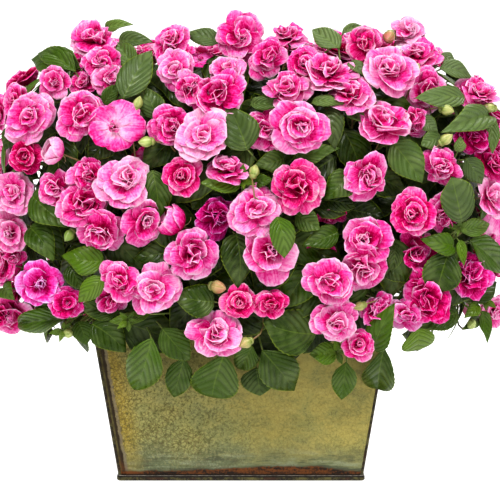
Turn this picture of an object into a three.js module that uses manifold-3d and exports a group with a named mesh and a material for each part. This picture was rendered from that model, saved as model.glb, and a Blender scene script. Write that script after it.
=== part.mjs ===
// Double busy lizzie growing in a flared sheet-metal planter.
// Millimetres, +Z up. The origin is the middle of the planter's underside, and the front faces -Y.
// Every piece is a solid of its own with a small running gap to its neighbours.
import * as THREE from "three";
import { mergeVertices } from "three/addons/utils/BufferGeometryUtils.js";
import Module from "manifold-3d";

const wasm = await Module();
wasm.setup();

// ---------------------------------------------------------------- driving dimensions

const GAP = 0.35; // between two pieces that touch
const SLIVER = 0.03; // edges shorter than this are closed up
const PLANTER = {
  height: 162,
  baseWidth: 236,
  baseDepth: 160,
  flare: 0.163, // outward run of a wall for each millimetre of height
  sheet: 1.2,
  beadHeight: 5,
  beadOut: 2.6,
  rimHeight: 6,
  rimOut: 2.8,
  seamRadius: 1.6,
  soilBelowRim: 15,
  drainHole: 5,
};
// The crown of leaves and flowers: half width, half depth and rise above its widest level.
const CROWN = { centreX: 9, widestZ: 290, halfWidth: 262, halfDepth: 205, rise: 168, roundness: 2.8 };
// Below its widest level the crown keeps this share of its plan size, lowest level first.
const SKIRT = [[60, 0.56], [110, 0.62], [140, 0.86], [200, 0.97], [290, 1]];
// The front is set out on a drawing: u runs right and v runs up from the drawing's middle.
const DRAWING = { eyeDistance: 2800, eyeElevation: 4, middle: new THREE.Vector3(9, 0, 220) };
// Main stems stand in rings: how many, the height of their tips, how far out the
// tips and the roots are as shares of the crown, and how high they arch.
const STEM_RINGS = [
  { count: 9, tipZ: 188, reach: 0.74, root: 0.36, arch: 62 },
  { count: 8, tipZ: 292, reach: 0.72, root: 0.25, arch: 42 },
  { count: 6, tipZ: 372, reach: 0.46, root: 0.13, arch: 20 },
  { count: 1, tipZ: 398, reach: 0, root: 0, arch: -12 },
];
const STEM = { radius: 4, rootDepth: 22, sides: 5, steps: 4 };
const STALK = { radius: 1.3, leafRadius: 1.1, hubRadius: 4.2, sway: 0.18, sharpest: -0.35 };
const BLOOM = { cup: 13, dome: 6, solidShare: 0.88, proud: 0.12 };
// Stations along a leaf: how far along, how broad, and how far bowed up as a share of the length.
const LEAF = { thickness: 1.6, widthShare: 0.62, stations: [[0.38, 1, 0.06], [0.72, 0.78, 0.05]] };
// The sides, top and back: how many points are tried, how far apart, between which heights, how
// deep they sit in the crown, and how far blooms stray from an even spread.
const BACK = {
  blooms: 330,
  leaves: 250,
  bloomSpacing: 36,
  leafSpacing: 33,
  lowest: 124,
  lowestBloom: 152,
  highest: 402,
  sunk: 20,
  stray: 26,
  turnedAway: 0.5,
};
// Where the drawing shows the crown's shoulders and foot, how near to its own line outwards and how
// far past it a front bloom hides what is behind, and the share of its width that hides.
const OUTLINE = { low: -50, high: 135, from: 110, to: 250, beside: 18, past: 10, hidingShare: 0.4 };

// ---------------------------------------------------------------- the front drawing

// Each bloom: u, v, width, pan and tilt of its face in degrees, lift towards the eye.
const FRONT_BLOOMS = [
  [-157, 212, 48, -10, 45, 10], [-146, 189, 40, 5, 20, 0], [-141, 172, 32, 10, 10, -8],
  [-196, 166, 34, -15, 5, 0], [-168, 168, 28, -5, 20, -14], [-170, 135, 50, 0, 0, 6],
  [-132, 124, 52, 5, 0, 6], [-235, 152, 38, -20, 25, -10], [-220, 132, 50, -10, 5, 6],
  [-255, 137, 40, -50, 5, -5], [-225, 93, 38, -10, 0, 0], [-193, 98, 21, -62, 18, 6],
  [-79, 125, 42, 0, 10, 0], [-105, 93, 26, 20, -30, -22], [-165, 76, 36, -5, 20, -4],
  [-125, 68, 54, 5, 15, 4], [-80, 208, 40, -5, 30, 4], [-74, 181, 37, 0, 10, 0],
  [-49, 195, 28, 10, 60, -20], [-11, 214, 49, 0, 15, 8], [-21, 182, 38, 10, 40, -4],
  [17, 193, 40, 5, 15, -2], [41, 216, 40, 10, 65, 0], [55, 188, 36, 10, 15, -2],
  [81, 180, 56, 10, 55, 2], [37, 164, 48, 0, 45, 2], [-30, 156, 50, 0, 15, 6],
  [-61, 164, 36, -5, 10, 0], [-48, 116, 50, 0, 10, 8], [49, 121, 56, 5, 0, 10],
  [16, 122, 44, -10, 5, -8], [-67, 75, 42, 0, -5, 2], [-23, 84, 44, 0, 50, 2],
  [114, 204, 40, 0, 10, 0], [158, 220, 36, 5, 30, -2], [170, 199, 42, 5, 50, 0],
  [140, 181, 50, 5, 20, 8], [102, 157, 44, -5, 45, -2], [134, 134, 52, 5, 45, 4],
  [163, 128, 32, 30, -10, -8], [175, 160, 46, 10, 10, -16], [228, 160, 42, 25, 50, 0],
  [224, 112, 38, 20, 0, -10], [116, 74, 50, 0, 0, 6], [193, 84, 42, 15, 5, 2],
  [242, 90, 40, 45, 10, -6], [243, 55, 44, 50, 10, 0], [-238, 57, 44, -15, 10, 2],
  [-240, 19, 42, -10, -5, 2], [-236, -8, 26, -10, -50, -4], [-210, -33, 46, -5, -5, 6],
  [-183, -52, 34, 10, 0, 4], [-196, 63, 36, -20, 5, 0], [-168, 47, 46, 5, 5, 2],
  [-149, 16, 52, -5, -40, 4], [-106, 26, 46, 15, -20, 0], [-129, -30, 44, -10, 5, 6],
  [-139, -50, 38, -10, -30, -8], [-94, -40, 50, 5, 0, 4], [-252, -62, 34, -40, -10, -4],
  [-236, -68, 52, -20, -40, 0], [-75, 27, 28, -64, 24, -4], [-34, 32, 38, 10, -5, -8],
  [5, 40, 52, 0, 5, 8], [49, 63, 50, 0, 5, 6], [85, 37, 30, 10, -20, -18],
  [21, -4, 54, 0, -5, 4], [70, -4, 34, 0, -60, -22], [-57, -6, 50, 5, -5, 4],
  [-12, -52, 36, 5, 0, 2], [20, -53, 34, 0, 0, 2], [-36, -83, 54, 0, 0, 10],
  [78, -30, 44, -5, 0, 10], [84, -70, 44, 5, -5, 8], [162, 38, 48, 5, 0, 6],
  [195, 38, 38, 25, -5, -4], [118, 11, 46, 0, 5, 2], [114, -19, 50, -5, -40, 2],
  [167, -1, 44, 5, -10, -14], [222, -27, 48, 15, 0, -2], [178, -49, 48, 0, -15, 2],
  [129, -61, 36, 0, 0, -4], [155, -64, 38, 5, -5, -8], [246, -62, 40, 40, -20, 0],
  [109, -95, 34, 0, 0, 8],
];
// Each leaf: u and v of its base, u and v of its tip, width, lift towards the eye.
const FRONT_LEAVES = [
  [-170, 182, -218, 190, 30, 0], [-174, 178, -211, 196, 22, 4], [-145, 222, -117, 226, 14, -8],
  [-131, 209, -97, 208, 18, -2], [-116, 184, -133, 208, 22, -8], [-127, 151, -98, 199, 32, 6],
  [-146, 146, -132, 166, 15, 2], [-90, 132, -105, 163, 24, -4], [-140, 115, -162, 88, 30, -12],
  [-236, 122, -246, 100, 20, -10], [-30, 208, -65, 217, 20, -4], [90, 202, 62, 220, 24, 2],
  [92, 216, 112, 224, 9, 2], [0, 146, 36, 146, 14, 0], [-3, 100, -22, 145, 36, 6],
  [35, 92, 4, 84, 22, -6], [42, 92, 90, 102, 20, -4], [75, 142, 85, 101, 26, -4],
  [62, 148, 95, 146, 12, 4], [94, 146, 116, 126, 16, -2], [100, 188, 116, 174, 14, -6],
  [190, 194, 208, 186, 14, -8], [190, 182, 222, 172, 20, 0], [214, 153, 163, 151, 22, 8],
  [238, 134, 190, 117, 28, 8], [172, 132, 188, 118, 16, -2], [190, 116, 170, 104, 18, 0],
  [142, 108, 172, 67, 34, 4], [208, 98, 210, 114, 12, 6], [240, 132, 242, 96, 16, 4],
  [216, 92, 232, 66, 22, -2], [-218, 54, -181, 22, 32, 0], [-220, 22, -196, -11, 28, 4],
  [-146, -12, -188, -6, 28, 2], [-182, -16, -170, -40, 20, -6], [-146, -27, -171, -52, 20, 8],
  [-98, 80, -92, 29, 28, 0], [-74, 0, -116, -8, 28, -8], [-132, -62, -172, -56, 22, -6],
  [-182, -68, -231, -74, 24, 2], [-248, -38, -236, -50, 20, -6], [-100, -64, -142, -72, 12, 0],
  [-172, -72, -164, -95, 22, -4], [-10, 66, -50, 67, 22, 4], [0, 66, 24, 70, 14, 0],
  [27, 33, 34, -9, 24, 21], [-14, 16, -12, -38, 36, -2], [-36, -52, -78, -44, 32, 0],
  [62, -16, 34, -58, 38, -8], [66, -84, 12, -72, 44, 4], [46, 36, 70, 20, 22, 0],
  [88, 18, 52, 4, 22, -4], [100, 76, 75, 50, 28, -2], [75, 50, 106, 42, 20, -6],
  [-45, 60, -58, 40, 20, -10], [211, 28, 200, 74, 34, 14], [211, 18, 239, 26, 18, 6],
  [203, 4, 170, 11, 22, 8], [199, 0, 186, -42, 38, 10], [218, 10, 253, -22, 30, 8],
  [209, 10, 213, -16, 10, 10], [146, 5, 142, -22, 16, -6], [124, -100, 144, -53, 26, 10],
  [220, -50, 247, -32, 20, -4], [168, -76, 165, -101, 34, -4], [208, -62, 168, -78, 24, 2],
  [228, -54, 214, -68, 14, 4], [232, -61, 237, -93, 14, 2], [230, -68, 212, -80, 12, 0],
  [-158, -74, -124, -102, 32, 4], [-98, -88, -115, -139, 36, 10], [-88, -78, -60, -110, 28, 8],
  [-66, -108, -76, -147, 26, 2], [-26, -104, -38, -147, 46, 4], [2, -95, -10, -119, 24, 2],
  [6, -118, 10, -146, 34, -4], [12, -100, 44, -140, 38, 6], [87, -102, 59, -104, 22, 8],
  [96, -112, 91, -149, 24, 10], [134, -98, 128, -139, 32, 2], [135, -12, 162, -32, 30, -14],
  [95, 42, 135, 34, 30, -14],
];
// Each unopened bud: u, v, width, pan and tilt, lift.
const FRONT_BUDS = [
  [139, 213, 15, -10, 50, 2], [196, 140, 13, 0, 40, 4], [239, 142, 13, 10, 20, 8],
  [166, 180, 11, 0, 30, 2], [195, 110, 13, 20, 0, 8], [-103, 108, 13, -20, 10, 4],
  [-112, 146, 12, 0, 20, 4], [-133, 48, 12, 0, 0, 2], [-180, 15, 12, -10, 0, 6],
  [-4, -92, 13, 0, -30, 14], [4, 78, 12, 0, 40, 6], [-33, -37, 16, 0, -30, -2],
  [-182, -83, 12, 0, -50, 4], [221, -74, 12, 10, -30, 6], [110, -56, 12, 0, -40, 4],
];

// ---------------------------------------------------------------- solids from three.js shapes

const X = new THREE.Vector3(1, 0, 0);
const Y = new THREE.Vector3(0, 1, 0);
const Z = new THREE.Vector3(0, 0, 1);
const radians = THREE.MathUtils.degToRad;

// A closed geometry as a manifold solid: shared vertices merged, collapsed triangles dropped.
function solid(geometry, matrix = new THREE.Matrix4()) {
  const bare = geometry.clone().applyMatrix4(matrix);
  bare.deleteAttribute("normal");
  bare.deleteAttribute("uv");
  const merged = mergeVertices(bare, 1e-3);
  const index = merged.index.array;
  const kept = [];
  for (let i = 0; i < index.length; i += 3) {
    const [a, b, c] = [index[i], index[i + 1], index[i + 2]];
    if (a !== b && b !== c && a !== c) kept.push(a, b, c);
  }
  const vertProperties = new Float32Array(merged.attributes.position.array);
  return new wasm.Manifold(new wasm.Mesh({ numProp: 3, vertProperties, triVerts: new Uint32Array(kept) }));
}

// Several overlapping solids as one, without the slivers that joining leaves.
const joined = (parts) => wasm.Manifold.union(parts).simplify(SLIVER);

// A placement whose local X, Y and Z lie along the given directions.
const placement = (x, y, z, at) => new THREE.Matrix4().makeBasis(x, y, z).setPosition(at);

// A tube of a few flat sides along a curve.
function tube(path, radius, sides, steps) {
  const outline = new THREE.Shape();
  for (let i = 0; i < sides; i++) {
    const turn = (2 * Math.PI * i) / sides;
    const [px, py] = [radius * Math.cos(turn), radius * Math.sin(turn)];
    if (i) outline.lineTo(px, py);
    else outline.moveTo(px, py);
  }
  outline.closePath();
  return solid(new THREE.ExtrudeGeometry(outline, { steps, extrudePath: path, bevelEnabled: false }));
}

// A closed skin over rings of points, each ring counter-clockwise seen from the next one.
// A ring may have as many points as the one before it, twice as many, or just one.
function loft(rings) {
  const triVerts = [];
  let a = 0;
  for (let i = 1; i + 1 < rings[0].length; i++) triVerts.push(0, i + 1, i);
  for (let r = 1; r < rings.length; r++) {
    const n = rings[r - 1].length;
    const m = rings[r].length;
    const b = a + n;
    for (let i = 0; i < n; i++) {
      const j = (i + 1) % n;
      if (m === 1) triVerts.push(a + i, a + j, b);
      else if (m === n) triVerts.push(a + i, a + j, b + j, a + i, b + j, b + i);
      else {
        triVerts.push(a + i, b + 2 * i + 1, b + 2 * i, a + i, a + j, b + 2 * i + 1);
        triVerts.push(a + j, b + 2 * j, b + 2 * i + 1);
      }
    }
    a = b;
  }
  const vertProperties = new Float32Array(rings.flat().flatMap((p) => p.toArray()));
  const mesh = new wasm.Mesh({ numProp: 3, vertProperties, triVerts: new Uint32Array(triVerts) });
  return new wasm.Manifold(mesh);
}

// Points round a middle, square to a direction, at these angles from the side direction.
function ringOf(middle, way, side, radius, degrees) {
  const up = new THREE.Vector3().crossVectors(way, side);
  return degrees.map((angle) =>
    middle
      .clone()
      .addScaledVector(side, radius * Math.cos(radians(angle)))
      .addScaledVector(up, radius * Math.sin(radians(angle))),
  );
}

// ---------------------------------------------------------------- the planter

// A block that flares like the planter's walls, its faces moved in by inset (out where negative).
function flaredBlock(lowZ, highZ, inset) {
  const block = new THREE.BoxGeometry(2, 2, 1).toNonIndexed();
  const p = block.attributes.position;
  for (let i = 0; i < p.count; i++) {
    const z = p.getZ(i) > 0 ? highZ : lowZ;
    const out = PLANTER.flare * z - inset;
    p.setXYZ(i, p.getX(i) * (PLANTER.baseWidth / 2 + out), p.getY(i) * (PLANTER.baseDepth / 2 + out), z);
  }
  return solid(block);
}

// A frame round the planter at one level, with rounded outer corners and edges.
function frameRound(z, height, out, inside) {
  const level = PLANTER.flare * (z + height / 2);
  const [w, d] = [PLANTER.baseWidth / 2 + level, PLANTER.baseDepth / 2 + level];
  const rectangle = (grow, radius) => {
    const [x, y] = [w + grow, d + grow];
    const path = new THREE.Shape();
    path.moveTo(-x + radius, -y);
    path.lineTo(x - radius, -y);
    path.absarc(x - radius, -y + radius, radius, -Math.PI / 2, 0);
    path.lineTo(x, y - radius);
    path.absarc(x - radius, y - radius, radius, 0, Math.PI / 2);
    path.lineTo(-x + radius, y);
    path.absarc(-x + radius, y - radius, radius, Math.PI / 2, Math.PI);
    path.lineTo(-x, -y + radius);
    path.absarc(-x + radius, -y + radius, radius, Math.PI, 1.5 * Math.PI);
    return path;
  };
  const edge = height / 4;
  const outline = rectangle(out - edge, 3);
  outline.holes.push(rectangle(-inside + edge, 2));
  const bevel = { bevelThickness: edge, bevelSize: edge, bevelSegments: 1, curveSegments: 1 };
  const bar = new THREE.ExtrudeGeometry(outline, { depth: height - 2 * edge, ...bevel });
  return solid(bar, new THREE.Matrix4().setPosition(0, 0, z + edge));
}

// The folded seam down one corner, from the bead to the rim.
function cornerSeam(sideX, sideY, grow = 0) {
  const at = (z) =>
    new THREE.Vector3(
      sideX * (PLANTER.baseWidth / 2 + PLANTER.flare * z - 1),
      sideY * (PLANTER.baseDepth / 2 + PLANTER.flare * z - 1),
      z,
    );
  const low = at(PLANTER.beadHeight + GAP - 2 * grow);
  const high = at(PLANTER.height - PLANTER.rimHeight - GAP + 2 * grow);
  return tube(new THREE.LineCurve3(low, high), PLANTER.seamRadius + grow, 8, 1);
}

const CORNERS = { front_left: [-1, -1], front_right: [1, -1], back_left: [-1, 1], back_right: [1, 1] };
const WALLS = { front: [0, -1], back: [0, 1], left: [-1, 0], right: [1, 0] };

function planterSolids() {
  const { height, sheet, beadHeight, beadOut, rimHeight, rimOut } = PLANTER;
  const [wallLow, wallHigh] = [beadHeight + GAP, height - rimHeight - GAP];
  let shell = flaredBlock(wallLow, wallHigh, 0).subtract(flaredBlock(wallLow - 1, wallHigh + 1, sheet));
  const parts = {};
  for (const [corner, [sx, sy]] of Object.entries(CORNERS)) {
    shell = shell.subtract(cornerSeam(sx, sy, GAP));
    parts[`corner_seam_${corner}`] = cornerSeam(sx, sy);
  }
  const panels = shell.decompose();
  for (const [wall, [wx, wy]] of Object.entries(WALLS)) {
    const outward = (p) => {
      const box = p.boundingBox();
      return wx * (box.min[0] + box.max[0]) + wy * (box.min[1] + box.max[1]);
    };
    parts[`${wall}_panel`] = panels.reduce((best, p) => (outward(p) > outward(best) ? p : best));
  }
  parts.base_bead = frameRound(0, beadHeight, beadOut, sheet + 2);
  parts.rim_roll = frameRound(height - rimHeight, rimHeight, rimOut, sheet + 1);
  let base = flaredBlock(0, sheet, sheet + 2 + GAP);
  for (const [hx, hy] of [[-1, -1], [1, -1], [-1, 1], [1, 1]]) {
    const hole = new THREE.CylinderGeometry(PLANTER.drainHole, PLANTER.drainHole, 8, 8).rotateX(Math.PI / 2);
    const at = new THREE.Vector3((hx * PLANTER.baseWidth) / 4, (hy * PLANTER.baseDepth) / 4, sheet / 2);
    base = base.subtract(solid(hole, new THREE.Matrix4().setPosition(at)));
  }
  parts.base_panel = base;
  return parts;
}

// ---------------------------------------------------------------- where things grow

// The crown's plan size at one height, as a share of its widest.
function planShare(z) {
  if (z >= CROWN.widestZ) {
    const rise = Math.min(1, (z - CROWN.widestZ) / CROWN.rise);
    return Math.pow(1 - Math.pow(rise, CROWN.roundness), 1 / CROWN.roundness);
  }
  for (let i = 1; i < SKIRT.length; i++) {
    const [[z0, s0], [z1, s1]] = [SKIRT[i - 1], SKIRT[i]];
    if (z <= z1) return s0 + ((s1 - s0) * Math.max(0, z - z0)) / (z1 - z0);
  }
  return 1;
}

// Below zero inside the crown and above zero outside it.
function outsideCrown(p) {
  const share = Math.max(planShare(p.z), 0.02);
  const x = Math.abs(p.x - CROWN.centreX) / (CROWN.halfWidth * share);
  const y = Math.abs(p.y) / (CROWN.halfDepth * share);
  return Math.pow(x, CROWN.roundness) + Math.pow(y, CROWN.roundness) - 1;
}

// The way out of the crown at a point, from its middle and its slope.
function crownNormal(p) {
  const x = (p.x - CROWN.centreX) / CROWN.halfWidth;
  const y = p.y / CROWN.halfDepth;
  const z = (p.z - CROWN.widestZ) / CROWN.rise;
  const steep = (value, half) => (Math.sign(value) * Math.pow(Math.abs(value), CROWN.roundness - 1)) / half;
  return new THREE.Vector3(
    steep(x, CROWN.halfWidth),
    steep(y, CROWN.halfDepth),
    steep(z, CROWN.rise) * (z < 0 ? 0.3 : 1),
  ).normalize();
}

const elevation = radians(DRAWING.eyeElevation);
const DRAWING_UP = new THREE.Vector3(0, Math.sin(elevation), Math.cos(elevation));
const TO_EYE = new THREE.Vector3(0, -Math.cos(elevation), Math.sin(elevation));
const EYE = DRAWING.middle.clone().addScaledVector(TO_EYE, DRAWING.eyeDistance);

// The point of the crown that the drawing shows at u, v.
function drawnPoint(u, v) {
  const drawn = DRAWING.middle.clone().addScaledVector(X, u).addScaledVector(DRAWING_UP, v);
  const sight = drawn.sub(EYE).normalize();
  const from = DRAWING.eyeDistance - CROWN.halfDepth - 40;
  let nearest = null;
  for (let along = from; along < DRAWING.eyeDistance + 30; along += 2) {
    const p = EYE.clone().addScaledVector(sight, along);
    const out = outsideCrown(p);
    if (!nearest || out < nearest.out) nearest = { p, out };
    if (out <= 0) break;
  }
  return nearest.p;
}

// A direction turned from the eye by pan to the right and tilt upwards.
function facing(pan, tilt) {
  const [p, t] = [radians(pan), radians(tilt)];
  return TO_EYE.clone()
    .multiplyScalar(Math.cos(t) * Math.cos(p))
    .addScaledVector(X, Math.cos(t) * Math.sin(p))
    .addScaledVector(DRAWING_UP, Math.sin(t))
    .normalize();
}

// Points spread evenly over the crown, each with its way out.
function spreadOverCrown(count, turn) {
  const middle = new THREE.Vector3(CROWN.centreX, 0, CROWN.widestZ - 20);
  const goldenAngle = Math.PI * (3 - Math.sqrt(5));
  const found = [];
  for (let i = 0; i < count; i++) {
    const height = 1 - (2 * (i + 0.5)) / count;
    const ring = Math.sqrt(1 - height * height);
    const angle = goldenAngle * i + turn;
    const way = new THREE.Vector3(ring * Math.cos(angle), ring * Math.sin(angle), height);
    let at = middle.clone();
    for (let reach = 60; reach < 420; reach += 2) {
      at = middle.clone().addScaledVector(way, reach);
      if (outsideCrown(at) > 0) break;
    }
    if (at.z > BACK.lowest) found.push({ at, out: crownNormal(at), number: i });
  }
  return found;
}

// A repeatable number from 0 to 1 for the item with this number.
function scatter(number, salt) {
  const mixed = Math.sin(number * 12.9898 + salt * 78.233) * 43758.5453;
  return mixed - Math.floor(mixed);
}

// Any direction square to the given one.
const across = (way) => new THREE.Vector3().crossVectors(Math.abs(way.z) < 0.9 ? Z : Y, way).normalize();

// A tilted bloom's foot stands a little to one side, so that its open face is what the drawing shows.
function frontBlooms(rows, isBud) {
  return rows.map(([u, v, width, pan, tilt, lift]) => {
    const out = facing(pan, tilt);
    const aside = out.clone().addScaledVector(TO_EYE, -out.dot(TO_EYE));
    const at = drawnPoint(u, v).addScaledVector(TO_EYE, lift);
    if (!isBud) at.addScaledVector(aside, -BLOOM.proud * width);
    return { at, out, width, isBud };
  });
}

// The u and v at which a point shows in the drawing.
function inDrawing(p) {
  const fromMiddle = p.clone().sub(DRAWING.middle);
  const closer = DRAWING.eyeDistance / (DRAWING.eyeDistance - fromMiddle.dot(TO_EYE));
  return new THREE.Vector2(fromMiddle.x, fromMiddle.dot(DRAWING_UP)).multiplyScalar(closer);
}

// Whether a bloom here would show past the front blooms at the crown's shoulders or foot.
function showsPast(at, front) {
  const place = inDrawing(at);
  if (place.y > OUTLINE.low && place.y < OUTLINE.high) return false;
  if (Math.abs(place.x) <= OUTLINE.from || Math.abs(place.x) >= OUTLINE.to) return false;
  const reach = place.length();
  const way = place.clone().divideScalar(reach);
  return !front.some((bloom) => {
    const p = inDrawing(bloom.at);
    const hiddenTo = p.dot(way) + OUTLINE.hidingShare * bloom.width - OUTLINE.past;
    return Math.abs(p.cross(way)) < OUTLINE.beside && hiddenTo > reach;
  });
}

function backBlooms(front) {
  const found = [];
  for (const { at, out, number } of spreadOverCrown(BACK.blooms, 0.6)) {
    if (out.dot(TO_EYE) > BACK.turnedAway || at.z < BACK.lowestBloom) continue;
    const side = across(out);
    at.addScaledVector(side, BACK.stray * (scatter(number, 16) - 0.5));
    at.addScaledVector(side.cross(out), BACK.stray * (scatter(number, 17) - 0.5));
    if ([...front, ...found].some((b) => b.at.distanceTo(at) < BACK.bloomSpacing)) continue;
    const lean = out.clone().addScaledVector(Z, 0.25).addScaledVector(across(out), scatter(number, 1) - 0.5);
    at.addScaledVector(out, 8 * scatter(number, 2) - BACK.sunk);
    at.z = Math.min(at.z, BACK.highest + 18 * scatter(number, 10));
    if (showsPast(at, front)) continue;
    found.push({ at, out: lean.normalize(), width: 36 + 15 * scatter(number, 3), isBud: false });
  }
  return found;
}

function frontLeaves() {
  return FRONT_LEAVES.map(([u0, v0, u1, v1, width, lift], i) => {
    const base = drawnPoint(u0, v0).addScaledVector(TO_EYE, lift - 5);
    const tip = drawnPoint(u1, v1).addScaledVector(TO_EYE, lift);
    const face = TO_EYE.clone()
      .multiplyScalar(0.75)
      .addScaledVector(crownNormal(base), 0.3)
      .addScaledVector(Z, 0.2)
      .addScaledVector(X, 0.4 * (scatter(i, 4) - 0.5));
    return { base, tip, face, width };
  });
}

function backLeaves(blooms, front) {
  const found = [];
  for (const { at, out, number } of spreadOverCrown(BACK.leaves, 2.1)) {
    if (out.dot(TO_EYE) > BACK.turnedAway) continue;
    if (blooms.some((b) => b.at.distanceTo(at) < 17)) continue;
    const middle = (leaf) => leaf.base.clone().add(leaf.tip).multiplyScalar(0.5);
    if ([...front, ...found].some((leaf) => middle(leaf).distanceTo(at) < BACK.leafSpacing)) continue;
    const side = across(out);
    const down = new THREE.Vector3().crossVectors(side, out).normalize();
    const turn = 2.4 * (scatter(number, 5) - 0.5);
    const way = down.multiplyScalar(-Math.sign(down.z || 1) * Math.cos(turn));
    way.addScaledVector(side, Math.sin(turn));
    const length = 40 + 18 * scatter(number, 6);
    at.z = Math.min(at.z, BACK.highest);
    const base = at.clone().addScaledVector(way, -length / 2).addScaledVector(out, -BACK.sunk - 10);
    const tip = at.clone().addScaledVector(way, length / 2).addScaledVector(out, -BACK.sunk - 2);
    found.push({ base, tip, face: out.clone().addScaledVector(Z, 0.3), width: length * LEAF.widthShare });
  }
  return found;
}

// ---------------------------------------------------------------- stems

function stemPaths() {
  const rootZ = PLANTER.height - PLANTER.soilBelowRim - STEM.rootDepth;
  const paths = [];
  STEM_RINGS.forEach(({ count, tipZ, reach, root: rootReach, arch }, ring) => {
    for (let i = 0; i < count; i++) {
      const angle = (2 * Math.PI * (i + 0.5 * (ring % 2))) / count;
      const way = new THREE.Vector3(CROWN.halfWidth * Math.sin(angle), -CROWN.halfDepth * Math.cos(angle), 0);
      const middle = new THREE.Vector3(CROWN.centreX * (reach > 0), 0, tipZ);
      const tip = way.clone().multiplyScalar(reach).add(middle);
      const root = way.clone().multiplyScalar(rootReach).setZ(rootZ);
      const rise = root.clone().lerp(tip, 0.16).setZ(rootZ + 0.62 * (tipZ - rootZ) + arch);
      const bend = root.clone().lerp(tip, 0.62).setZ(tipZ + 0.4 * arch);
      paths.push(new THREE.CubicBezierCurve3(root, rise, bend, tip));
    }
  });
  return paths;
}

// The point this share of the way up a stem, on the straight lengths that it is made of.
function onStem(path, share) {
  const joints = path.getSpacedPoints(STEM.steps);
  const below = Math.min(STEM.steps - 1, Math.floor(share * STEM.steps));
  return joints[below].clone().lerp(joints[below + 1], share * STEM.steps - below);
}

// ---------------------------------------------------------------- putting it together

// Every solid laid so far, with its node and box, to keep new ones clear of other nodes.
const laid = [];
function lay(node, made) {
  laid.push({ node, made, box: made.boundingBox() });
}
function isClear(node, made) {
  const box = made.boundingBox();
  return !laid.some((other) => {
    if (other.node === node) return false;
    for (let k = 0; k < 3; k++) {
      if (box.min[k] > other.box.max[k] || box.max[k] < other.box.min[k]) return false;
    }
    return !made.intersect(other.made).isEmpty();
  });
}

// The first of several versions of a solid that clears its neighbours and grows from its carrier, or null.
function firstClear(node, carrier, versions) {
  for (const version of versions) {
    const grown = version(GAP);
    if (!grown || !isClear(node, grown)) continue;
    const made = version(0);
    if (isClear(node, made) && made.intersect(carrier).volume() > 1) return made;
  }
  return null;
}

const THREE_SIDES = [30, 150, 270];
const SIX_SIDES = [30, 90, 150, 210, 270, 330];

// The part of a direction that is square to another, or the spare one where nothing is left of it.
function squareTo(way, side, spare) {
  const left = side.clone().addScaledVector(way, -side.dot(way));
  return (left.length() > 0.3 ? left : spare.clone().addScaledVector(way, -spare.dot(way))).normalize();
}

// Rings of a thin stalk from one point towards another, straight or swayed to one side.
function stalkRings(from, to, sway, side, spare, radius) {
  const knee = from.clone().lerp(to, 0.5).addScaledVector(sway, STALK.sway * from.distanceTo(to));
  const along = to.clone().sub(from).normalize();
  const first = knee.clone().sub(from).normalize();
  const rings = [ringOf(from, first, squareTo(first, side, spare), radius, THREE_SIDES)];
  if (sway.lengthSq() > 0) rings.push(ringOf(knee, along, squareTo(along, side, spare), radius, THREE_SIDES));
  return rings;
}

// A bloom on its stalk: six broad petals in a shallow dome over a cone that ends in the stalk.
function bloomOnStalk({ at, out, width, isBud }, hub, scale, sway) {
  return (grow) => {
    const radius = (width / 2) * BLOOM.solidShare * scale + grow;
    const cup = (isBud ? width * 0.6 : BLOOM.cup) * Math.sqrt(scale);
    const dome = (isBud ? width * 0.5 : BLOOM.dome) + grow;
    const calyx = at.clone().addScaledVector(out, -cup);
    const start = hub.clone().lerp(calyx, (0.3 * STALK.hubRadius) / hub.distanceTo(calyx));
    const along = calyx.clone().sub(start).normalize();
    if (along.dot(out) < STALK.sharpest) return null;
    const square = new THREE.Vector3().crossVectors(along, out);
    const side = square.length() > 0.1 ? square.normalize() : across(out);
    const bend = along.add(out).normalize();
    return loft([
      ...stalkRings(start, calyx, sway, side, across(out), STALK.radius + grow),
      ringOf(calyx, bend, squareTo(bend, side, across(out)), STALK.radius + grow, THREE_SIDES),
      ringOf(at, out, squareTo(out, side, across(out)), radius, SIX_SIDES),
      [at.clone().addScaledVector(out, dome)],
    ]);
  };
}

// A leaf on its petiole: a bowed blade with a keel under its midrib, and the petiole from the stem.
function leafOnPetiole({ base, tip, face, width }, from, scale, depth, sway) {
  return (grow) => {
    const way = tip.clone().sub(base);
    const length = way.length() * scale;
    way.normalize();
    const up = face.clone().addScaledVector(way, -face.dot(way)).normalize();
    const side = new THREE.Vector3().crossVectors(up, way);
    const at = (share, bow) =>
      base.clone().addScaledVector(way, share * length).addScaledVector(up, depth + bow * length);
    const half = LEAF.thickness / 2 + grow;
    const along = at(0, 0).sub(from).normalize();
    if (along.dot(way) < STALK.sharpest) return null;
    const bend = along.add(way).normalize();
    const station = ([share, breadth, bow]) => {
      const reach = (width / 2) * breadth * scale + grow;
      const middle = at(share, bow);
      return [
        middle.clone().addScaledVector(side, reach).addScaledVector(up, half),
        middle.clone().addScaledVector(side, -reach).addScaledVector(up, half),
        middle.clone().addScaledVector(up, -half),
      ];
    };
    return loft([
      ...stalkRings(from, at(0, 0), sway, side, up, STALK.leafRadius + grow),
      ringOf(at(0, 0), bend, squareTo(bend, side, up), STALK.leafRadius + grow, THREE_SIDES),
      ...LEAF.stations.map(station),
      [at(1, 0).addScaledVector(way, grow)],
    ]);
  };
}

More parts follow.
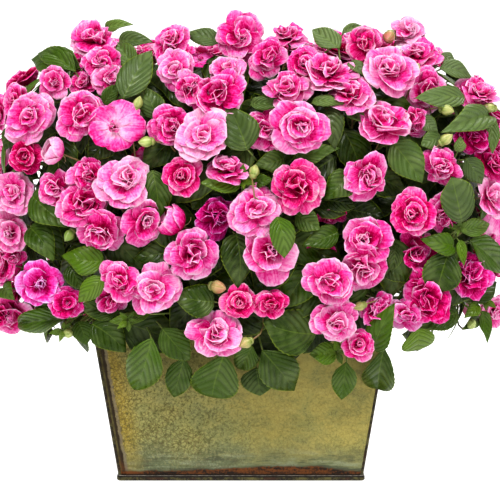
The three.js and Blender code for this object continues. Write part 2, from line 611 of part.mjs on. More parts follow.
const group = new THREE.Group();
function addMesh(name, made, colour, roughness, metalness = 0) {
  const mesh = made.getMesh();
  const positions = new Float32Array(mesh.numVert * 3);
  for (let i = 0; i < mesh.numVert; i++) {
    positions.set(mesh.vertProperties.subarray(i * mesh.numProp, i * mesh.numProp + 3), i * 3);
  }
  const geometry = new THREE.BufferGeometry();
  geometry.setAttribute("position", new THREE.BufferAttribute(positions, 3));
  geometry.setIndex(new THREE.BufferAttribute(new Uint32Array(mesh.triVerts), 1));
  geometry.computeVertexNormals();
  const material = new THREE.MeshStandardMaterial({ color: colour, roughness, metalness });
  const piece = new THREE.Mesh(geometry, material);
  piece.name = name;
  group.add(piece);
}

const METAL = new THREE.Color(0.52, 0.5, 0.26);
const LEAF_GREEN = new THREE.Color(0.12, 0.27, 0.06);
const PETAL_PINK = new THREE.Color(0.93, 0.25, 0.55);
const SOIL_BROWN = new THREE.Color(0.09, 0.06, 0.04);

const planter = planterSolids();
for (const [name, made] of Object.entries(planter)) {
  addMesh(name, made, METAL, 0.45, 0.8);
  lay(name, made);
}

const paths = stemPaths();
const stems = paths.map((path) => tube(path, STEM.radius, STEM.sides, STEM.steps));
const grownStems = paths.map((path) => tube(path, STEM.radius + GAP, STEM.sides, STEM.steps));
const soilTop = PLANTER.height - PLANTER.soilBelowRim;
const soilFoot = flaredBlock(PLANTER.sheet + GAP, PLANTER.beadHeight + 2, PLANTER.sheet + 2.5 + GAP);
const soilBlock = flaredBlock(PLANTER.beadHeight + GAP, soilTop, PLANTER.sheet + GAP).add(soilFoot);
const sockets = [...grownStems, ...Object.values(CORNERS).map(([sx, sy]) => cornerSeam(sx, sy, GAP))];
const soil = sockets.reduce((left, socket) => left.subtract(socket), soilBlock);
addMesh("potting_mix", soil, SOIL_BROWN, 0.95);
lay("potting_mix", soil);

const twoDigits = (i) => String(i + 1).padStart(2, "0");
const shootName = (i) => `leafy_shoot_${twoDigits(i)}`;
const sprayName = (i) => `bloom_spray_${twoDigits(i)}`;
stems.forEach((made, i) => lay(shootName(i), made));

// Each stem's tip carries the hub that its flower stalks spring from.
const hubs = paths.map((path) => {
  const way = path.getTangent(1);
  return { way, at: path.getPoint(1).addScaledVector(way, STALK.hubRadius + GAP + 0.4), parts: [] };
});
hubs.forEach((hub, i) => {
  const ball = new THREE.OctahedronGeometry(STALK.hubRadius);
  hub.parts.push(solid(ball, placement(across(hub.way), hub.way, across(hub.way).cross(hub.way), hub.at)));
  lay(sprayName(i), hub.parts[0]);
});

// The stem that a leaf or bloom grows from: a near one that lies behind it.
function carrierOf(at, way) {
  const cost = hubs.map((hub) => {
    const reach = at.clone().sub(hub.at);
    return reach.length() * (1.6 - 0.6 * reach.normalize().dot(way));
  });
  return cost.indexOf(Math.min(...cost));
}
const SWAYS = [[0, 0], [1, 0], [-1, 0], [0, 1], [0, -1]];
const swayOf = ([a, b], way) => across(way).multiplyScalar(a).addScaledVector(across(way).cross(way), b);

const blooms = [...frontBlooms(FRONT_BLOOMS, false), ...frontBlooms(FRONT_BUDS, true)];
blooms.push(...backBlooms(blooms));
for (const bloom of blooms) {
  const i = carrierOf(bloom.at, bloom.out);
  const hub = hubs[i];
  const versions = [1, 0.85, 0.7].flatMap((scale) =>
    SWAYS.map((sway) => bloomOnStalk(bloom, hub.at, scale, swayOf(sway, hub.way))),
  );
  const made = firstClear(sprayName(i), hub.parts[0], versions);
  if (!made) continue;
  hub.parts.push(made);
  lay(sprayName(i), made);
}
hubs.forEach((hub, i) => addMesh(sprayName(i), joined(hub.parts), PETAL_PINK, 0.6));

const leaves = frontLeaves();
leaves.push(...backLeaves(blooms, leaves));
const shoots = stems.map((made) => [made]);
for (const leaf of leaves) {
  const i = carrierOf(leaf.base, leaf.tip.clone().sub(leaf.base).normalize());
  const node = 0.955 - 0.036 * (shoots[i].length - 1);
  const versions = [];
  for (const scale of [1, 0.85, 0.7]) {
    for (const depth of [0, -5, 5, -10, -16]) {
      for (const place of [node, node - 0.09]) {
        const from = onStem(paths[i], place);
        const way = paths[i].getTangentAt(place);
        for (const sway of SWAYS) versions.push(leafOnPetiole(leaf, from, scale, depth, swayOf(sway, way)));
      }
    }
  }
  const made = firstClear(shootName(i), stems[i], versions);
  if (!made) continue;
  shoots[i].push(made);
  lay(shootName(i), made);
}
shoots.forEach((parts, i) => addMesh(shootName(i), joined(parts), LEAF_GREEN, 0.5));

export default group;
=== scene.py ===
"""Double busy lizzie in a patinated sheet-metal planter: the looks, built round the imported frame."""

import math

import bpy
import numpy as np
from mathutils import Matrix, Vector


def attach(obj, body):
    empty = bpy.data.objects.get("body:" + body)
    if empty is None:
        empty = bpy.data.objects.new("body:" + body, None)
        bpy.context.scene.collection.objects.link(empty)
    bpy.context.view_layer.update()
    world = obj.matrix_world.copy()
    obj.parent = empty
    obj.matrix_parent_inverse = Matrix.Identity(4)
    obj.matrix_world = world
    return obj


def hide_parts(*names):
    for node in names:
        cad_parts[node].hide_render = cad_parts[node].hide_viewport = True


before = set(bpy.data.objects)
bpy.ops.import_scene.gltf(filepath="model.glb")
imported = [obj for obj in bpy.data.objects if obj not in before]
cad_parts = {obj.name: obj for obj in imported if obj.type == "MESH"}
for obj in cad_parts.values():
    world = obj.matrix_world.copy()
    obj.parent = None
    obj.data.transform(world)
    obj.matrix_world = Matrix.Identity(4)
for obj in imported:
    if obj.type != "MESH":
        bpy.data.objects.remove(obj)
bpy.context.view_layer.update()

# ---------------------------------------- the sizes of the frame, in mm

MM = 0.001
GAP = 0.35
GOLDEN_ANGLE = math.pi * (3 - math.sqrt(5))
PLANTER = {
    "height": 162, "width": 236, "depth": 160, "flare": 0.163, "soil_below_rim": 15, "bead": 5, "roll": 6,
}
# The crown: the middle of its width, the height where it is widest, its half width and half depth
# there, how far it rises above that, and how squarely it rounds off.
CROWN = {"x": 9, "widest": 290, "wide": 262, "deep": 205, "rise": 168, "round": 2.8}
# Below its widest: the crown's plan size at each height, as a share of its widest.
SKIRT = [(60, 0.56), (110, 0.62), (140, 0.86), (200, 0.97), (290, 1.0)]
# A straight look at the crown: how far off the eye is, how high it stands in degrees, where it looks,
# and how much it sees from side to side.
DRAWING = {"eye": 2800, "elevation": 4, "middle": np.array([9.0, 0.0, 220.0]), "across": 500}
# Main stems in rings: how many, height of the tips, reach of tips and roots, and arch.
STEM_RINGS = [
    (9, 188, 0.74, 0.36, 62),
    (8, 292, 0.72, 0.25, 42),
    (6, 372, 0.46, 0.13, 20),
    (1, 398, 0.0, 0.0, -12),
]
# How far along a stem it rises and bends, as shares, and how much of its arch the bend keeps.
STEM_BEND = {"rise": 0.16, "height": 0.62, "bend": 0.62, "arch": 0.4}
ROOT_DEPTH, HUB_RADIUS, HUB_CLEAR = 22, 4.2, 0.4
# The blooms and leaves that are spread by rule: how many are tried, how close they stand, how high,
# how deep and how large they are, and their colours. What ends in "more" is the most that chance adds.
BACK = {
    "blooms": 330, "leaves": 250, "bloom_gap": 36, "leaf_gap": 33, "leaf_clear_of_bloom": 17,
    "lowest": 124, "lowest_bloom": 152, "highest": 402, "height_more": 18, "turned_away": 0.5,
    "sunk": 20, "rise_more": 8, "stray": 26, "leaf_base_sunk": 10, "leaf_tip_sunk": 2, "leaf_turn": 2.4,
    "bloom": 36, "bloom_more": 15, "leaf": 40, "leaf_more": 18,
    "tone": 0.12, "tone_more": 0.75, "hues": 0.7, "bright": 0.1, "bright_more": 0.7,
}
# The layers of leaves inside the crown: their size beside it, how many are tried, and their turn.
INNER_LAYERS = [(0.9, 300, 0.3), (0.8, 230, 1.4), (0.68, 150, 2.6), (0.54, 80, 3.3)]
# Inner leaves are kept dark, their brightness no more than bright: painted shade deep in the crown.
INNER = {
    "leaf": 48, "leaf_more": 20, "width_share": 0.66, "bright": 0.20, "turn": 3.6, "sunk_share": 0.8,
    "below_top": 6, "below_more": 24, "outer_layer": 0.85, "outer_tilt": 0.5, "tilt": 3.0,
}
# How far a drawn leaf's base lies behind its tip, and where drawn leaves get a painted sheen, the grey
# gloss of light from above and the right: from which height, over how much of it, and how much being
# further right counts.
BASE_BEHIND = 5
PAINTED_SHEEN_PLACE = {"from": 90, "over": 150, "rightwards": 0.45}
# The room over the planter that holds stems and no inner leaves.
STEM_ROOM = {"height": 195, "half_wide": 175, "half_deep": 135}
# Where the drawing shows the crown's shoulders and foot, and how far a front bloom there hides
# what is behind.
OUTLINE = {"low": -50, "high": 135, "from": 110, "to": 250, "beside": 18, "past": 10, "hiding_share": 0.4}
# How far a bloom's face stands out from its middle, as a share of its width.
PROUD = 0.12
LEAF_WIDTH_SHARE = 0.62

# ---------------------------------------- the front drawing

# Each bloom: u, v, width, pan and tilt of its face, lift towards the eye, form, depth of colour.
FRONT_BLOOMS = [
    (-157, 212, 48, -10, 45, 10, "ruffled", 0.45), (-146, 189, 40, 5, 20, 0, "ruffled", 0.5),
    (-141, 172, 32, 10, 10, -8, "disc", 0.2), (-196, 166, 34, -15, 5, 0, "half_open", 0.4),
    (-168, 168, 28, -5, 20, -14, "ruffled", 0.5), (-170, 135, 50, 0, 0, 6, "ruffled", 0.42),
    (-132, 124, 52, 5, 0, 6, "flat", 0.55), (-235, 152, 38, -20, 25, -10, "ruffled", 0.5),
    (-220, 132, 50, -10, 5, 6, "disc", 0.35), (-255, 137, 40, -50, 5, -5, "ruffled", 0.5),
    (-225, 93, 38, -10, 0, 0, "rose", 0.85), (-193, 98, 21, -62, 18, 6, "rosebud", 0.05),
    (-79, 125, 42, 0, 10, 0, "ruffled", 0.55), (-105, 93, 26, 20, -30, -22, "flat", 0.95),
    (-165, 76, 36, -5, 20, -4, "crumpled", 0.6), (-125, 68, 54, 5, 15, 4, "disc", 0.18),
    (-80, 208, 40, -5, 30, 4, "ruffled", 0.5), (-74, 181, 37, 0, 10, 0, "disc", 0.25),
    (-49, 195, 28, 10, 60, -20, "flat", 0.95), (-11, 214, 49, 0, 15, 8, "ruffled", 0.5),
    (-21, 182, 38, 10, 40, -4, "disc", 0.2), (17, 193, 40, 5, 15, -2, "ruffled", 0.5),
    (41, 216, 40, 10, 65, 0, "ruffled", 0.4), (55, 188, 36, 10, 15, -2, "rose", 0.65),
    (81, 180, 56, 10, 55, 2, "ruffled", 0.3), (37, 164, 48, 0, 45, 2, "ruffled", 0.3),
    (-30, 156, 50, 0, 15, 6, "ruffled", 0.6), (-61, 164, 36, -5, 10, 0, "crumpled", 0.5),
    (-48, 116, 50, 0, 10, 8, "disc", 0.1), (49, 121, 56, 5, 0, 10, "rose", 0.4),
    (16, 122, 44, -10, 5, -8, "ruffled", 0.5), (-67, 75, 42, 0, -5, 2, "rose", 0.7),
    (-23, 84, 44, 0, 50, 2, "ruffled", 0.4), (114, 204, 40, 0, 10, 0, "ruffled", 0.58),
    (158, 220, 36, 5, 30, -2, "ruffled", 0.05), (170, 199, 42, 5, 50, 0, "ruffled", 0.38),
    (140, 181, 50, 5, 20, 8, "ruffled", 0.25), (102, 157, 44, -5, 45, -2, "ruffled", 0.35),
    (134, 134, 52, 5, 45, 4, "ruffled", 0.35), (163, 128, 32, 30, -10, -8, "crumpled", 0.55),
    (175, 160, 46, 10, 10, -16, "ruffled", 0.4), (228, 160, 42, 25, 50, 0, "ruffled", 0.38),
    (224, 112, 38, 20, 0, -10, "ruffled", 0.9), (116, 74, 50, 0, 0, 6, "crumpled", 0.5),
    (193, 84, 42, 15, 5, 2, "crumpled", 0.5), (242, 90, 40, 45, 10, -6, "ruffled", 0.9),
    (243, 55, 44, 50, 10, 0, "half_open", 0.15), (-238, 57, 44, -15, 10, 2, "disc", 0.2),
    (-240, 19, 42, -10, -5, 2, "half_open", 0.2), (-236, -8, 26, -10, -50, -4, "ruffled", 0.6),
    (-210, -33, 46, -5, -5, 6, "half_open", 0.5), (-183, -52, 34, 10, 0, 4, "rose", 0.85),
    (-196, 63, 36, -20, 5, 0, "ruffled", 0.5), (-168, 47, 46, 5, 5, 2, "ruffled", 0.5),
    (-149, 16, 52, -5, -40, 4, "ruffled", 0.45), (-106, 26, 46, 15, -20, 0, "half_open", 0.35),
    (-129, -30, 44, -10, 5, 6, "ruffled", 0.5), (-139, -50, 38, -10, -30, -8, "ruffled", 0.6),
    (-94, -40, 50, 5, 0, 4, "disc", 0.2), (-252, -62, 34, -40, -10, -4, "ruffled", 0.8),
    (-236, -68, 52, -20, -40, 0, "half_open", 0.5), (-75, 27, 28, -64, 24, -4, "rosebud", 0.75),
    (-34, 32, 38, 10, -5, -8, "crumpled", 0.85), (5, 40, 52, 0, 5, 8, "disc", 0.22),
    (49, 63, 50, 0, 5, 6, "ruffled", 0.6), (85, 37, 30, 10, -20, -18, "ruffled", 0.85),
    (21, -4, 54, 0, -5, 4, "half_open", 0.35), (70, -4, 34, 0, -60, -22, "flat", 0.95),
    (-57, -6, 50, 5, -5, 4, "ruffled", 0.4), (-12, -52, 36, 5, 0, 2, "rose", 0.65),
    (20, -53, 34, 0, 0, 2, "ruffled", 0.7), (-36, -83, 54, 0, 0, 10, "ruffled", 0.25),
    (78, -30, 44, -5, 0, 10, "ruffled", 0.4), (84, -70, 44, 5, -5, 8, "disc", 0.3),
    (162, 38, 48, 5, 0, 6, "rose", 0.7), (195, 38, 38, 25, -5, -4, "crumpled", 0.6),
    (118, 11, 46, 0, 5, 2, "half_open", 0.45), (114, -19, 50, -5, -40, 2, "ruffled", 0.45),
    (167, -1, 44, 5, -10, -14, "ruffled", 0.8), (222, -27, 48, 15, 0, -2, "crumpled", 0.8),
    (178, -49, 48, 0, -15, 2, "ruffled", 0.8), (129, -61, 36, 0, 0, -4, "crumpled", 0.55),
    (155, -64, 38, 5, -5, -8, "ruffled", 0.3), (246, -62, 40, 40, -20, 0, "disc", 0.2),
    (109, -95, 34, 0, 0, 8, "rose", 0.55),
]
# The blooms whose colour leans towards violet, or towards crimson where negative.
HUES = {
    (-210, -33): 0.5, (-34, 32): 0.5, (224, 112): 0.3, (222, -27): 0.3, (155, -64): 0.25,
    (129, -61): 0.2, (-49, 195): 0.3, (70, -4): 0.3, (-183, -52): 0.2, (-12, -52): -0.6,
    (20, -53): -0.5, (-225, 93): -0.6, (49, 63): -0.5, (162, 38): -0.4, (-67, 75): -0.5,
    (114, 204): -0.4, (-57, -6): 0.15, (109, -95): -0.3,
}
# Each leaf: u and v of its base, u and v of its tip, width, lift towards the eye, brightness, and
# whether it is blunt, with its point turned under. The brightness holds the leaf's own lighter or
# darker green together with painted light and shade on it.
FRONT_LEAVES = [
    (-170, 182, -218, 190, 30, 0, 0.5), (-174, 178, -211, 196, 22, 4, 0.4),
    (-145, 222, -117, 226, 14, -8, 0.9), (-131, 209, -97, 208, 18, -2, 0.2),
    (-116, 184, -133, 208, 22, -8, 0.5), (-127, 151, -98, 199, 32, 6, 0.35),
    (-146, 146, -132, 166, 15, 2, 0.5), (-90, 132, -105, 163, 24, -4, 0.3),
    (-140, 115, -162, 88, 30, -12, 0.05), (-236, 122, -246, 100, 20, -10, 0.05),
    (-30, 208, -65, 217, 20, -4, 0.35), (90, 202, 62, 220, 24, 2, 0.5), (92, 216, 112, 224, 9, 2, 0.7),
    (0, 146, 36, 146, 14, 0, 0.5), (-3, 100, -22, 145, 36, 6, 0.35), (35, 92, 4, 84, 22, -6, 0.3),
    (42, 92, 90, 102, 20, -4, 0.5), (75, 142, 85, 101, 26, -4, 0.15), (62, 148, 95, 146, 12, 4, 0.6),
    (94, 146, 116, 126, 16, -2, 0.4), (100, 188, 116, 174, 14, -6, 0.5), (190, 194, 208, 186, 14, -8, 0.1),
    (190, 182, 222, 172, 20, 0, 0.3), (214, 153, 163, 151, 22, 8, 0.45), (238, 134, 190, 117, 28, 8, 0.6),
    (172, 132, 188, 118, 16, -2, 0.3), (190, 116, 170, 104, 18, 0, 0.35), (142, 108, 172, 67, 34, 4, 0.35),
    (208, 98, 210, 114, 12, 6, 0.95), (240, 132, 242, 96, 16, 4, 0.7), (216, 92, 232, 66, 22, -2, 0.35),
    (-218, 54, -181, 22, 32, 0, 0.4), (-220, 22, -196, -11, 28, 4, 0.45), (-146, -12, -188, -6, 28, 2, 0.7),
    (-182, -16, -170, -40, 20, -6, 0.4), (-146, -27, -171, -52, 20, 8, 0.75),
    (-98, 80, -92, 29, 28, 0, 0.3), (-74, 0, -116, -8, 28, -8, 0.1), (-132, -62, -172, -56, 22, -6, 0.4),
    (-182, -68, -231, -74, 24, 2, 0.45), (-248, -38, -236, -50, 20, -6, 0.5),
    (-100, -64, -142, -72, 12, 0, 0.6), (-172, -72, -164, -95, 22, -4, 0.5),
    (-10, 66, -50, 67, 22, 4, 0.75), (0, 66, 24, 70, 14, 0, 0.4), (27, 33, 34, -9, 24, 21, 0.5),
    (-14, 16, -12, -38, 36, -2, 0.15), (-36, -52, -78, -44, 32, 0, 0.35), (62, -16, 34, -58, 38, -8, 0.3),
    (66, -84, 12, -72, 44, 4, 0.3), (46, 36, 70, 20, 22, 0, 0.5), (88, 18, 52, 4, 22, -4, 0.35),
    (100, 76, 75, 50, 28, -2, 0.35), (75, 50, 106, 42, 20, -6, 0.15), (-45, 60, -58, 40, 20, -10, 0.1),
    (211, 28, 200, 74, 34, 14, 0.28, "blunt"), (211, 18, 239, 26, 18, 6, 0.6),
    (203, 4, 170, 11, 22, 8, 0.5), (199, 0, 186, -42, 38, 10, 0.25, "blunt"),
    (218, 10, 253, -22, 30, 8, 0.45), (209, 10, 213, -16, 10, 10, 0.8), (146, 5, 142, -22, 16, -6, 0.2),
    (124, -100, 144, -53, 26, 10, 0.5), (220, -50, 247, -32, 20, -4, 0.2),
    (168, -76, 165, -101, 34, -4, 1.0, "blunt"), (208, -62, 168, -78, 24, 2, 0.3),
    (228, -54, 214, -68, 14, 4, 0.8), (232, -61, 237, -93, 14, 2, 0.6), (230, -68, 212, -80, 12, 0, 0.4),
    (-158, -74, -124, -102, 32, 4, 0.4), (-98, -88, -115, -139, 36, 10, 0.55),
    (-88, -78, -60, -110, 28, 8, 0.5), (-66, -108, -76, -147, 26, 2, 0.4),
    (-26, -104, -38, -147, 46, 4, 0.4, "blunt"), (2, -95, -10, -119, 24, 2, 0.45),
    (6, -118, 10, -146, 34, -4, 0.35), (12, -100, 44, -140, 38, 6, 0.45), (87, -102, 59, -104, 22, 8, 0.6),
    (96, -112, 91, -149, 24, 10, 0.5), (134, -98, 128, -139, 32, 2, 0.3, "blunt"),
    (135, -12, 162, -32, 30, -14, 0.1), (95, 42, 135, 34, 30, -14, 0.1),
]
# The hearts of young shoots, ringed by small new leaves: u, v and the turn of the first leaf.
YOUNG_TIPS = [(209, 22, 10), (-122, -70, 40), (87, -102, 0), (-8, 70, 50), (235, -50, 30), (-186, -80, 15)]
YOUNG = {"leaves": 5, "lift": 4, "rise_more": 7, "length": 8, "length_more": 8, "turn_more": 40}
# Each unopened bud: u, v, width, pan and tilt, lift, and how pink it is, or green where negative.
FRONT_BUDS = [
    (139, 213, 15, -10, 50, 2, 0.8), (196, 140, 13, 0, 40, 4, 0.1), (239, 142, 13, 10, 20, 8, 0.1),
    (166, 180, 11, 0, 30, 2, 0.1), (195, 110, 13, 20, 0, 8, 0.15), (-103, 108, 13, -20, 10, 4, 0.0),
    (-112, 146, 12, 0, 20, 4, 0.1), (-133, 48, 12, 0, 0, 2, -0.4), (-180, 15, 12, -10, 0, 6, -0.2),
    (-4, -92, 13, 0, -30, 14, 0.3), (4, 78, 12, 0, 40, 6, 0.1), (-33, -37, 16, 0, -30, -2, 0.6),
    (-182, -83, 12, 0, -50, 4, 0.0), (221, -74, 12, 10, -30, 6, 0.0), (110, -56, 12, 0, -40, 4, 0.2),
]

# ---------------------------------------- where things grow, as in the frame

X, Y, Z = np.eye(3)
rad = math.radians


def unit(v):
    return v / max(np.linalg.norm(v), 1e-9)


def plan_share(z):
    """The crown's plan size at one height, as a share of its widest."""
    if z >= CROWN["widest"]:
        rise = min(1, (z - CROWN["widest"]) / CROWN["rise"])
        return (1 - rise ** CROWN["round"]) ** (1 / CROWN["round"])
    for (z0, s0), (z1, s1) in zip(SKIRT, SKIRT[1:]):
        if z <= z1:
            return s0 + (s1 - s0) * max(0, z - z0) / (z1 - z0)
    return 1.0


def outside_crown(p):
    """Below 0 inside the crown, and above 0 outside it."""
    share = max(plan_share(p[2]), 0.02)
    x = abs(p[0] - CROWN["x"]) / (CROWN["wide"] * share)
    y = abs(p[1]) / (CROWN["deep"] * share)
    return x ** CROWN["round"] + y ** CROWN["round"] - 1


SKIRT_LEAN = 0.3


def crown_normal(p):
    """The way out of the crown here; its skirt hangs nearly straight, so it faces down only a little."""
    x = (p[0] - CROWN["x"]) / CROWN["wide"]
    y = p[1] / CROWN["deep"]
    z = (p[2] - CROWN["widest"]) / CROWN["rise"]

    def steep(value, half):
        return math.copysign(abs(value) ** (CROWN["round"] - 1), value) / half

    rise = steep(z, CROWN["rise"]) * (SKIRT_LEAN if z < 0 else 1)
    return unit(np.array([steep(x, CROWN["wide"]), steep(y, CROWN["deep"]), rise]))


ELEVATION = rad(DRAWING["elevation"])
DRAWING_UP = np.array([0, math.sin(ELEVATION), math.cos(ELEVATION)])
TO_EYE = np.array([0, -math.cos(ELEVATION), math.sin(ELEVATION)])
EYE = DRAWING["middle"] + TO_EYE * DRAWING["eye"]
# The search for the crown along a line of sight, and along a way out from its middle.
SIGHT = {"before": 40, "past": 30, "step": 2}
SEARCH = {"middle_below_widest": 20.0, "from": 60, "to": 420, "step": 2}


def drawn_point(u, v):
    """The point of the crown that the drawing shows at u, v."""
    sight = unit(DRAWING["middle"] + X * u + DRAWING_UP * v - EYE)
    along = DRAWING["eye"] - CROWN["deep"] - SIGHT["before"]
    best, best_out = None, None
    while along < DRAWING["eye"] + SIGHT["past"]:
        p = EYE + sight * along
        out = outside_crown(p)
        if best is None or out < best_out:
            best, best_out = p, out
        if out <= 0:
            break
        along += SIGHT["step"]
    return best


def facing(pan, tilt):
    """A direction turned from the eye by pan to the right and tilt upwards."""
    p, t = rad(pan), rad(tilt)
    aside = X * math.cos(t) * math.sin(p)
    return unit(TO_EYE * math.cos(t) * math.cos(p) + aside + DRAWING_UP * math.sin(t))


def spread_over_crown(count, turn, share=1.0):
    """Points spread evenly over the crown, or over a smaller one inside it, each with its way out."""
    middle = np.array([CROWN["x"], 0, CROWN["widest"] - SEARCH["middle_below_widest"]])
    found = []
    for i in range(count):
        height = 1 - 2 * (i + 0.5) / count
        ring = math.sqrt(1 - height * height)
        angle = GOLDEN_ANGLE * i + turn
        way = np.array([ring * math.cos(angle), ring * math.sin(angle), height])
        for reach in range(SEARCH["from"], SEARCH["to"], SEARCH["step"]):
            at = middle + way * reach
            if outside_crown(at) > 0:
                break
        if at[2] > BACK["lowest"]:
            found.append((middle + (at - middle) * share, crown_normal(at), i))
    return found


def scatter(number, salt):
    """A repeatable number from 0 to 1 for the item with this number."""
    mixed = math.sin(number * 12.9898 + salt * 78.233) * 43758.5453
    return mixed - math.floor(mixed)


def stray(number, salt, width):
    """A repeatable number that lies within half this width of 0."""
    return width * (scatter(number, salt) - 0.5)


def across(way):
    return unit(np.cross(Z if abs(way[2]) < 0.9 else Y, way))


def downhill(out, turn):
    """The way down along the crown's skin, turned aside."""
    side = across(out)
    down = unit(np.cross(side, out))
    return down * (-math.copysign(1, down[2] or 1) * math.cos(turn)) + side * math.sin(turn)


def bloom_row(at, out, width, form, tone, hue=0):
    return {"at": at, "out": out, "width": width, "form": form, "tone": tone, "hue": hue}


def leaf_row(base, tip, face, width, bright, kind, painted_sheen=0):
    return {"base": base, "tip": tip, "face": face, "width": width, "bright": bright, "kind": kind,
            "painted_sheen": painted_sheen}


def front_blooms():
    """The blooms and buds of the drawing, each with its face where it is drawn."""
    rows = []
    for u, v, width, pan, tilt, lift, form, tone in FRONT_BLOOMS:
        out = facing(pan, tilt)
        aside = out - TO_EYE * (out @ TO_EYE)
        at = drawn_point(u, v) + TO_EYE * lift - aside * PROUD * width
        rows.append(bloom_row(at, out, width, form, tone, HUES.get((u, v), 0)))
    for u, v, width, pan, tilt, lift, tone in FRONT_BUDS:
        at = drawn_point(u, v) + TO_EYE * lift
        rows.append(bloom_row(at, facing(pan, tilt), width, "bud", tone))
    return rows


def in_drawing(p):
    """The u and v at which a point shows in the drawing."""
    from_middle = p - DRAWING["middle"]
    closer = DRAWING["eye"] / (DRAWING["eye"] - from_middle @ TO_EYE)
    return np.array([from_middle[0], from_middle @ DRAWING_UP]) * closer


def shows_past(at, front):
    """Whether a bloom here would show past the front blooms at the crown's shoulders or foot."""
    place = in_drawing(at)
    if OUTLINE["low"] < place[1] < OUTLINE["high"]:
        return False
    if not OUTLINE["from"] < abs(place[0]) < OUTLINE["to"]:
        return False
    reach = np.linalg.norm(place)
    way = place / reach
    for bloom in front:
        other = in_drawing(bloom["at"])
        aside = abs(other[0] * way[1] - other[1] * way[0])
        hides_to = other @ way + OUTLINE["hiding_share"] * bloom["width"]
        if aside < OUTLINE["beside"] and hides_to > reach + OUTLINE["past"]:
            return False
    return True


# The forms that chance picks from for the spread blooms.
BACK_FORMS = [
    "ruffled", "disc", "ruffled", "rose", "ruffled", "half_open", "crumpled", "ruffled", "flat", "disc",
]


def back_blooms(front):
    """The blooms of the sides, the back and the top, clear of each other and of the front ones."""
    found = []
    for at, out, number in spread_over_crown(BACK["blooms"], 0.6):
        if out @ TO_EYE > BACK["turned_away"] or at[2] < BACK["lowest_bloom"]:
            continue
        side = across(out)
        at = at + side * stray(number, 16, BACK["stray"])
        at = at + np.cross(side, out) * stray(number, 17, BACK["stray"])
        if any(np.linalg.norm(b["at"] - at) < BACK["bloom_gap"] for b in front + found):
            continue
        lean = unit(out + Z * 0.25 + across(out) * stray(number, 1, 1))
        at = at + out * (BACK["rise_more"] * scatter(number, 2) - BACK["sunk"])
        at[2] = min(at[2], BACK["highest"] + BACK["height_more"] * scatter(number, 10))
        if shows_past(at, front):
            continue
        form = BACK_FORMS[int(scatter(number, 7) * len(BACK_FORMS))]
        width = BACK["bloom"] + BACK["bloom_more"] * scatter(number, 3)
        tone = BACK["tone"] + BACK["tone_more"] * scatter(number, 8)
        found.append(bloom_row(at, lean, width, form, tone, stray(number, 18, BACK["hues"])))
    return found


def front_leaves():
    """The leaves of the drawing, with a painted sheen high up on the right, and the small ones of the young
    tips.
    """
    found = []
    for i, (u0, v0, u1, v1, width, lift, bright, *blunt) in enumerate(FRONT_LEAVES):
        base = drawn_point(u0, v0) + TO_EYE * (lift - BASE_BEHIND)
        tip = drawn_point(u1, v1) + TO_EYE * lift
        face = TO_EYE * 0.75 + crown_normal(base) * 0.3 + Z * 0.2 + X * 0.4 * (scatter(i, 4) - 0.5)
        # Painted sheen: the higher and further right a drawn leaf, the more grey gloss of light from above
        # and the right is painted on it.
        height = v1 + PAINTED_SHEEN_PLACE["rightwards"] * u1
        painted_sheen = np.clip((height - PAINTED_SHEEN_PLACE["from"]) / PAINTED_SHEEN_PLACE["over"], 0, 1)
        found.append(leaf_row(base, tip, face, width, bright, "blunt" if blunt else "front", painted_sheen))
    for i, (u, v, first) in enumerate(YOUNG_TIPS):
        heart = drawn_point(u, v) + TO_EYE * YOUNG["lift"]
        for k in range(YOUNG["leaves"]):
            turn = rad(first + 360 / YOUNG["leaves"] * k + YOUNG["turn_more"] * scatter(k, 50 + i))
            way = X * math.cos(turn) + DRAWING_UP * math.sin(turn)
            long = YOUNG["length"] + YOUNG["length_more"] * scatter(k, 60 + i)
            tip = heart + way * long + TO_EYE * (YOUNG["rise_more"] * scatter(k, 70 + i))
            bright = 0.6 + 0.4 * scatter(k, 80 + i)
            found.append(leaf_row(heart + way, tip, TO_EYE + way * 0.3, long * 0.5, bright, "inner"))
    return found


def back_leaves(blooms, front):
    """The leaves between the blooms of the sides, the back and the top."""
    found = []
    for at, out, number in spread_over_crown(BACK["leaves"], 2.1):
        if out @ TO_EYE > BACK["turned_away"]:
            continue
        if any(np.linalg.norm(b["at"] - at) < BACK["leaf_clear_of_bloom"] for b in blooms):
            continue
        if any(np.linalg.norm((f["base"] + f["tip"]) / 2 - at) < BACK["leaf_gap"] for f in front + found):
            continue
        way = downhill(out, stray(number, 5, BACK["leaf_turn"]))
        length = BACK["leaf"] + BACK["leaf_more"] * scatter(number, 6)
        at = np.array([at[0], at[1], min(at[2], BACK["highest"])])
        base = at - way * length / 2 - out * (BACK["sunk"] + BACK["leaf_base_sunk"])
        tip = at + way * length / 2 - out * (BACK["sunk"] + BACK["leaf_tip_sunk"])
        bright = BACK["bright"] + BACK["bright_more"] * scatter(number, 9)
        found.append(leaf_row(base, tip, out + Z * 0.3, length * LEAF_WIDTH_SHARE, bright, "back"))
    return found


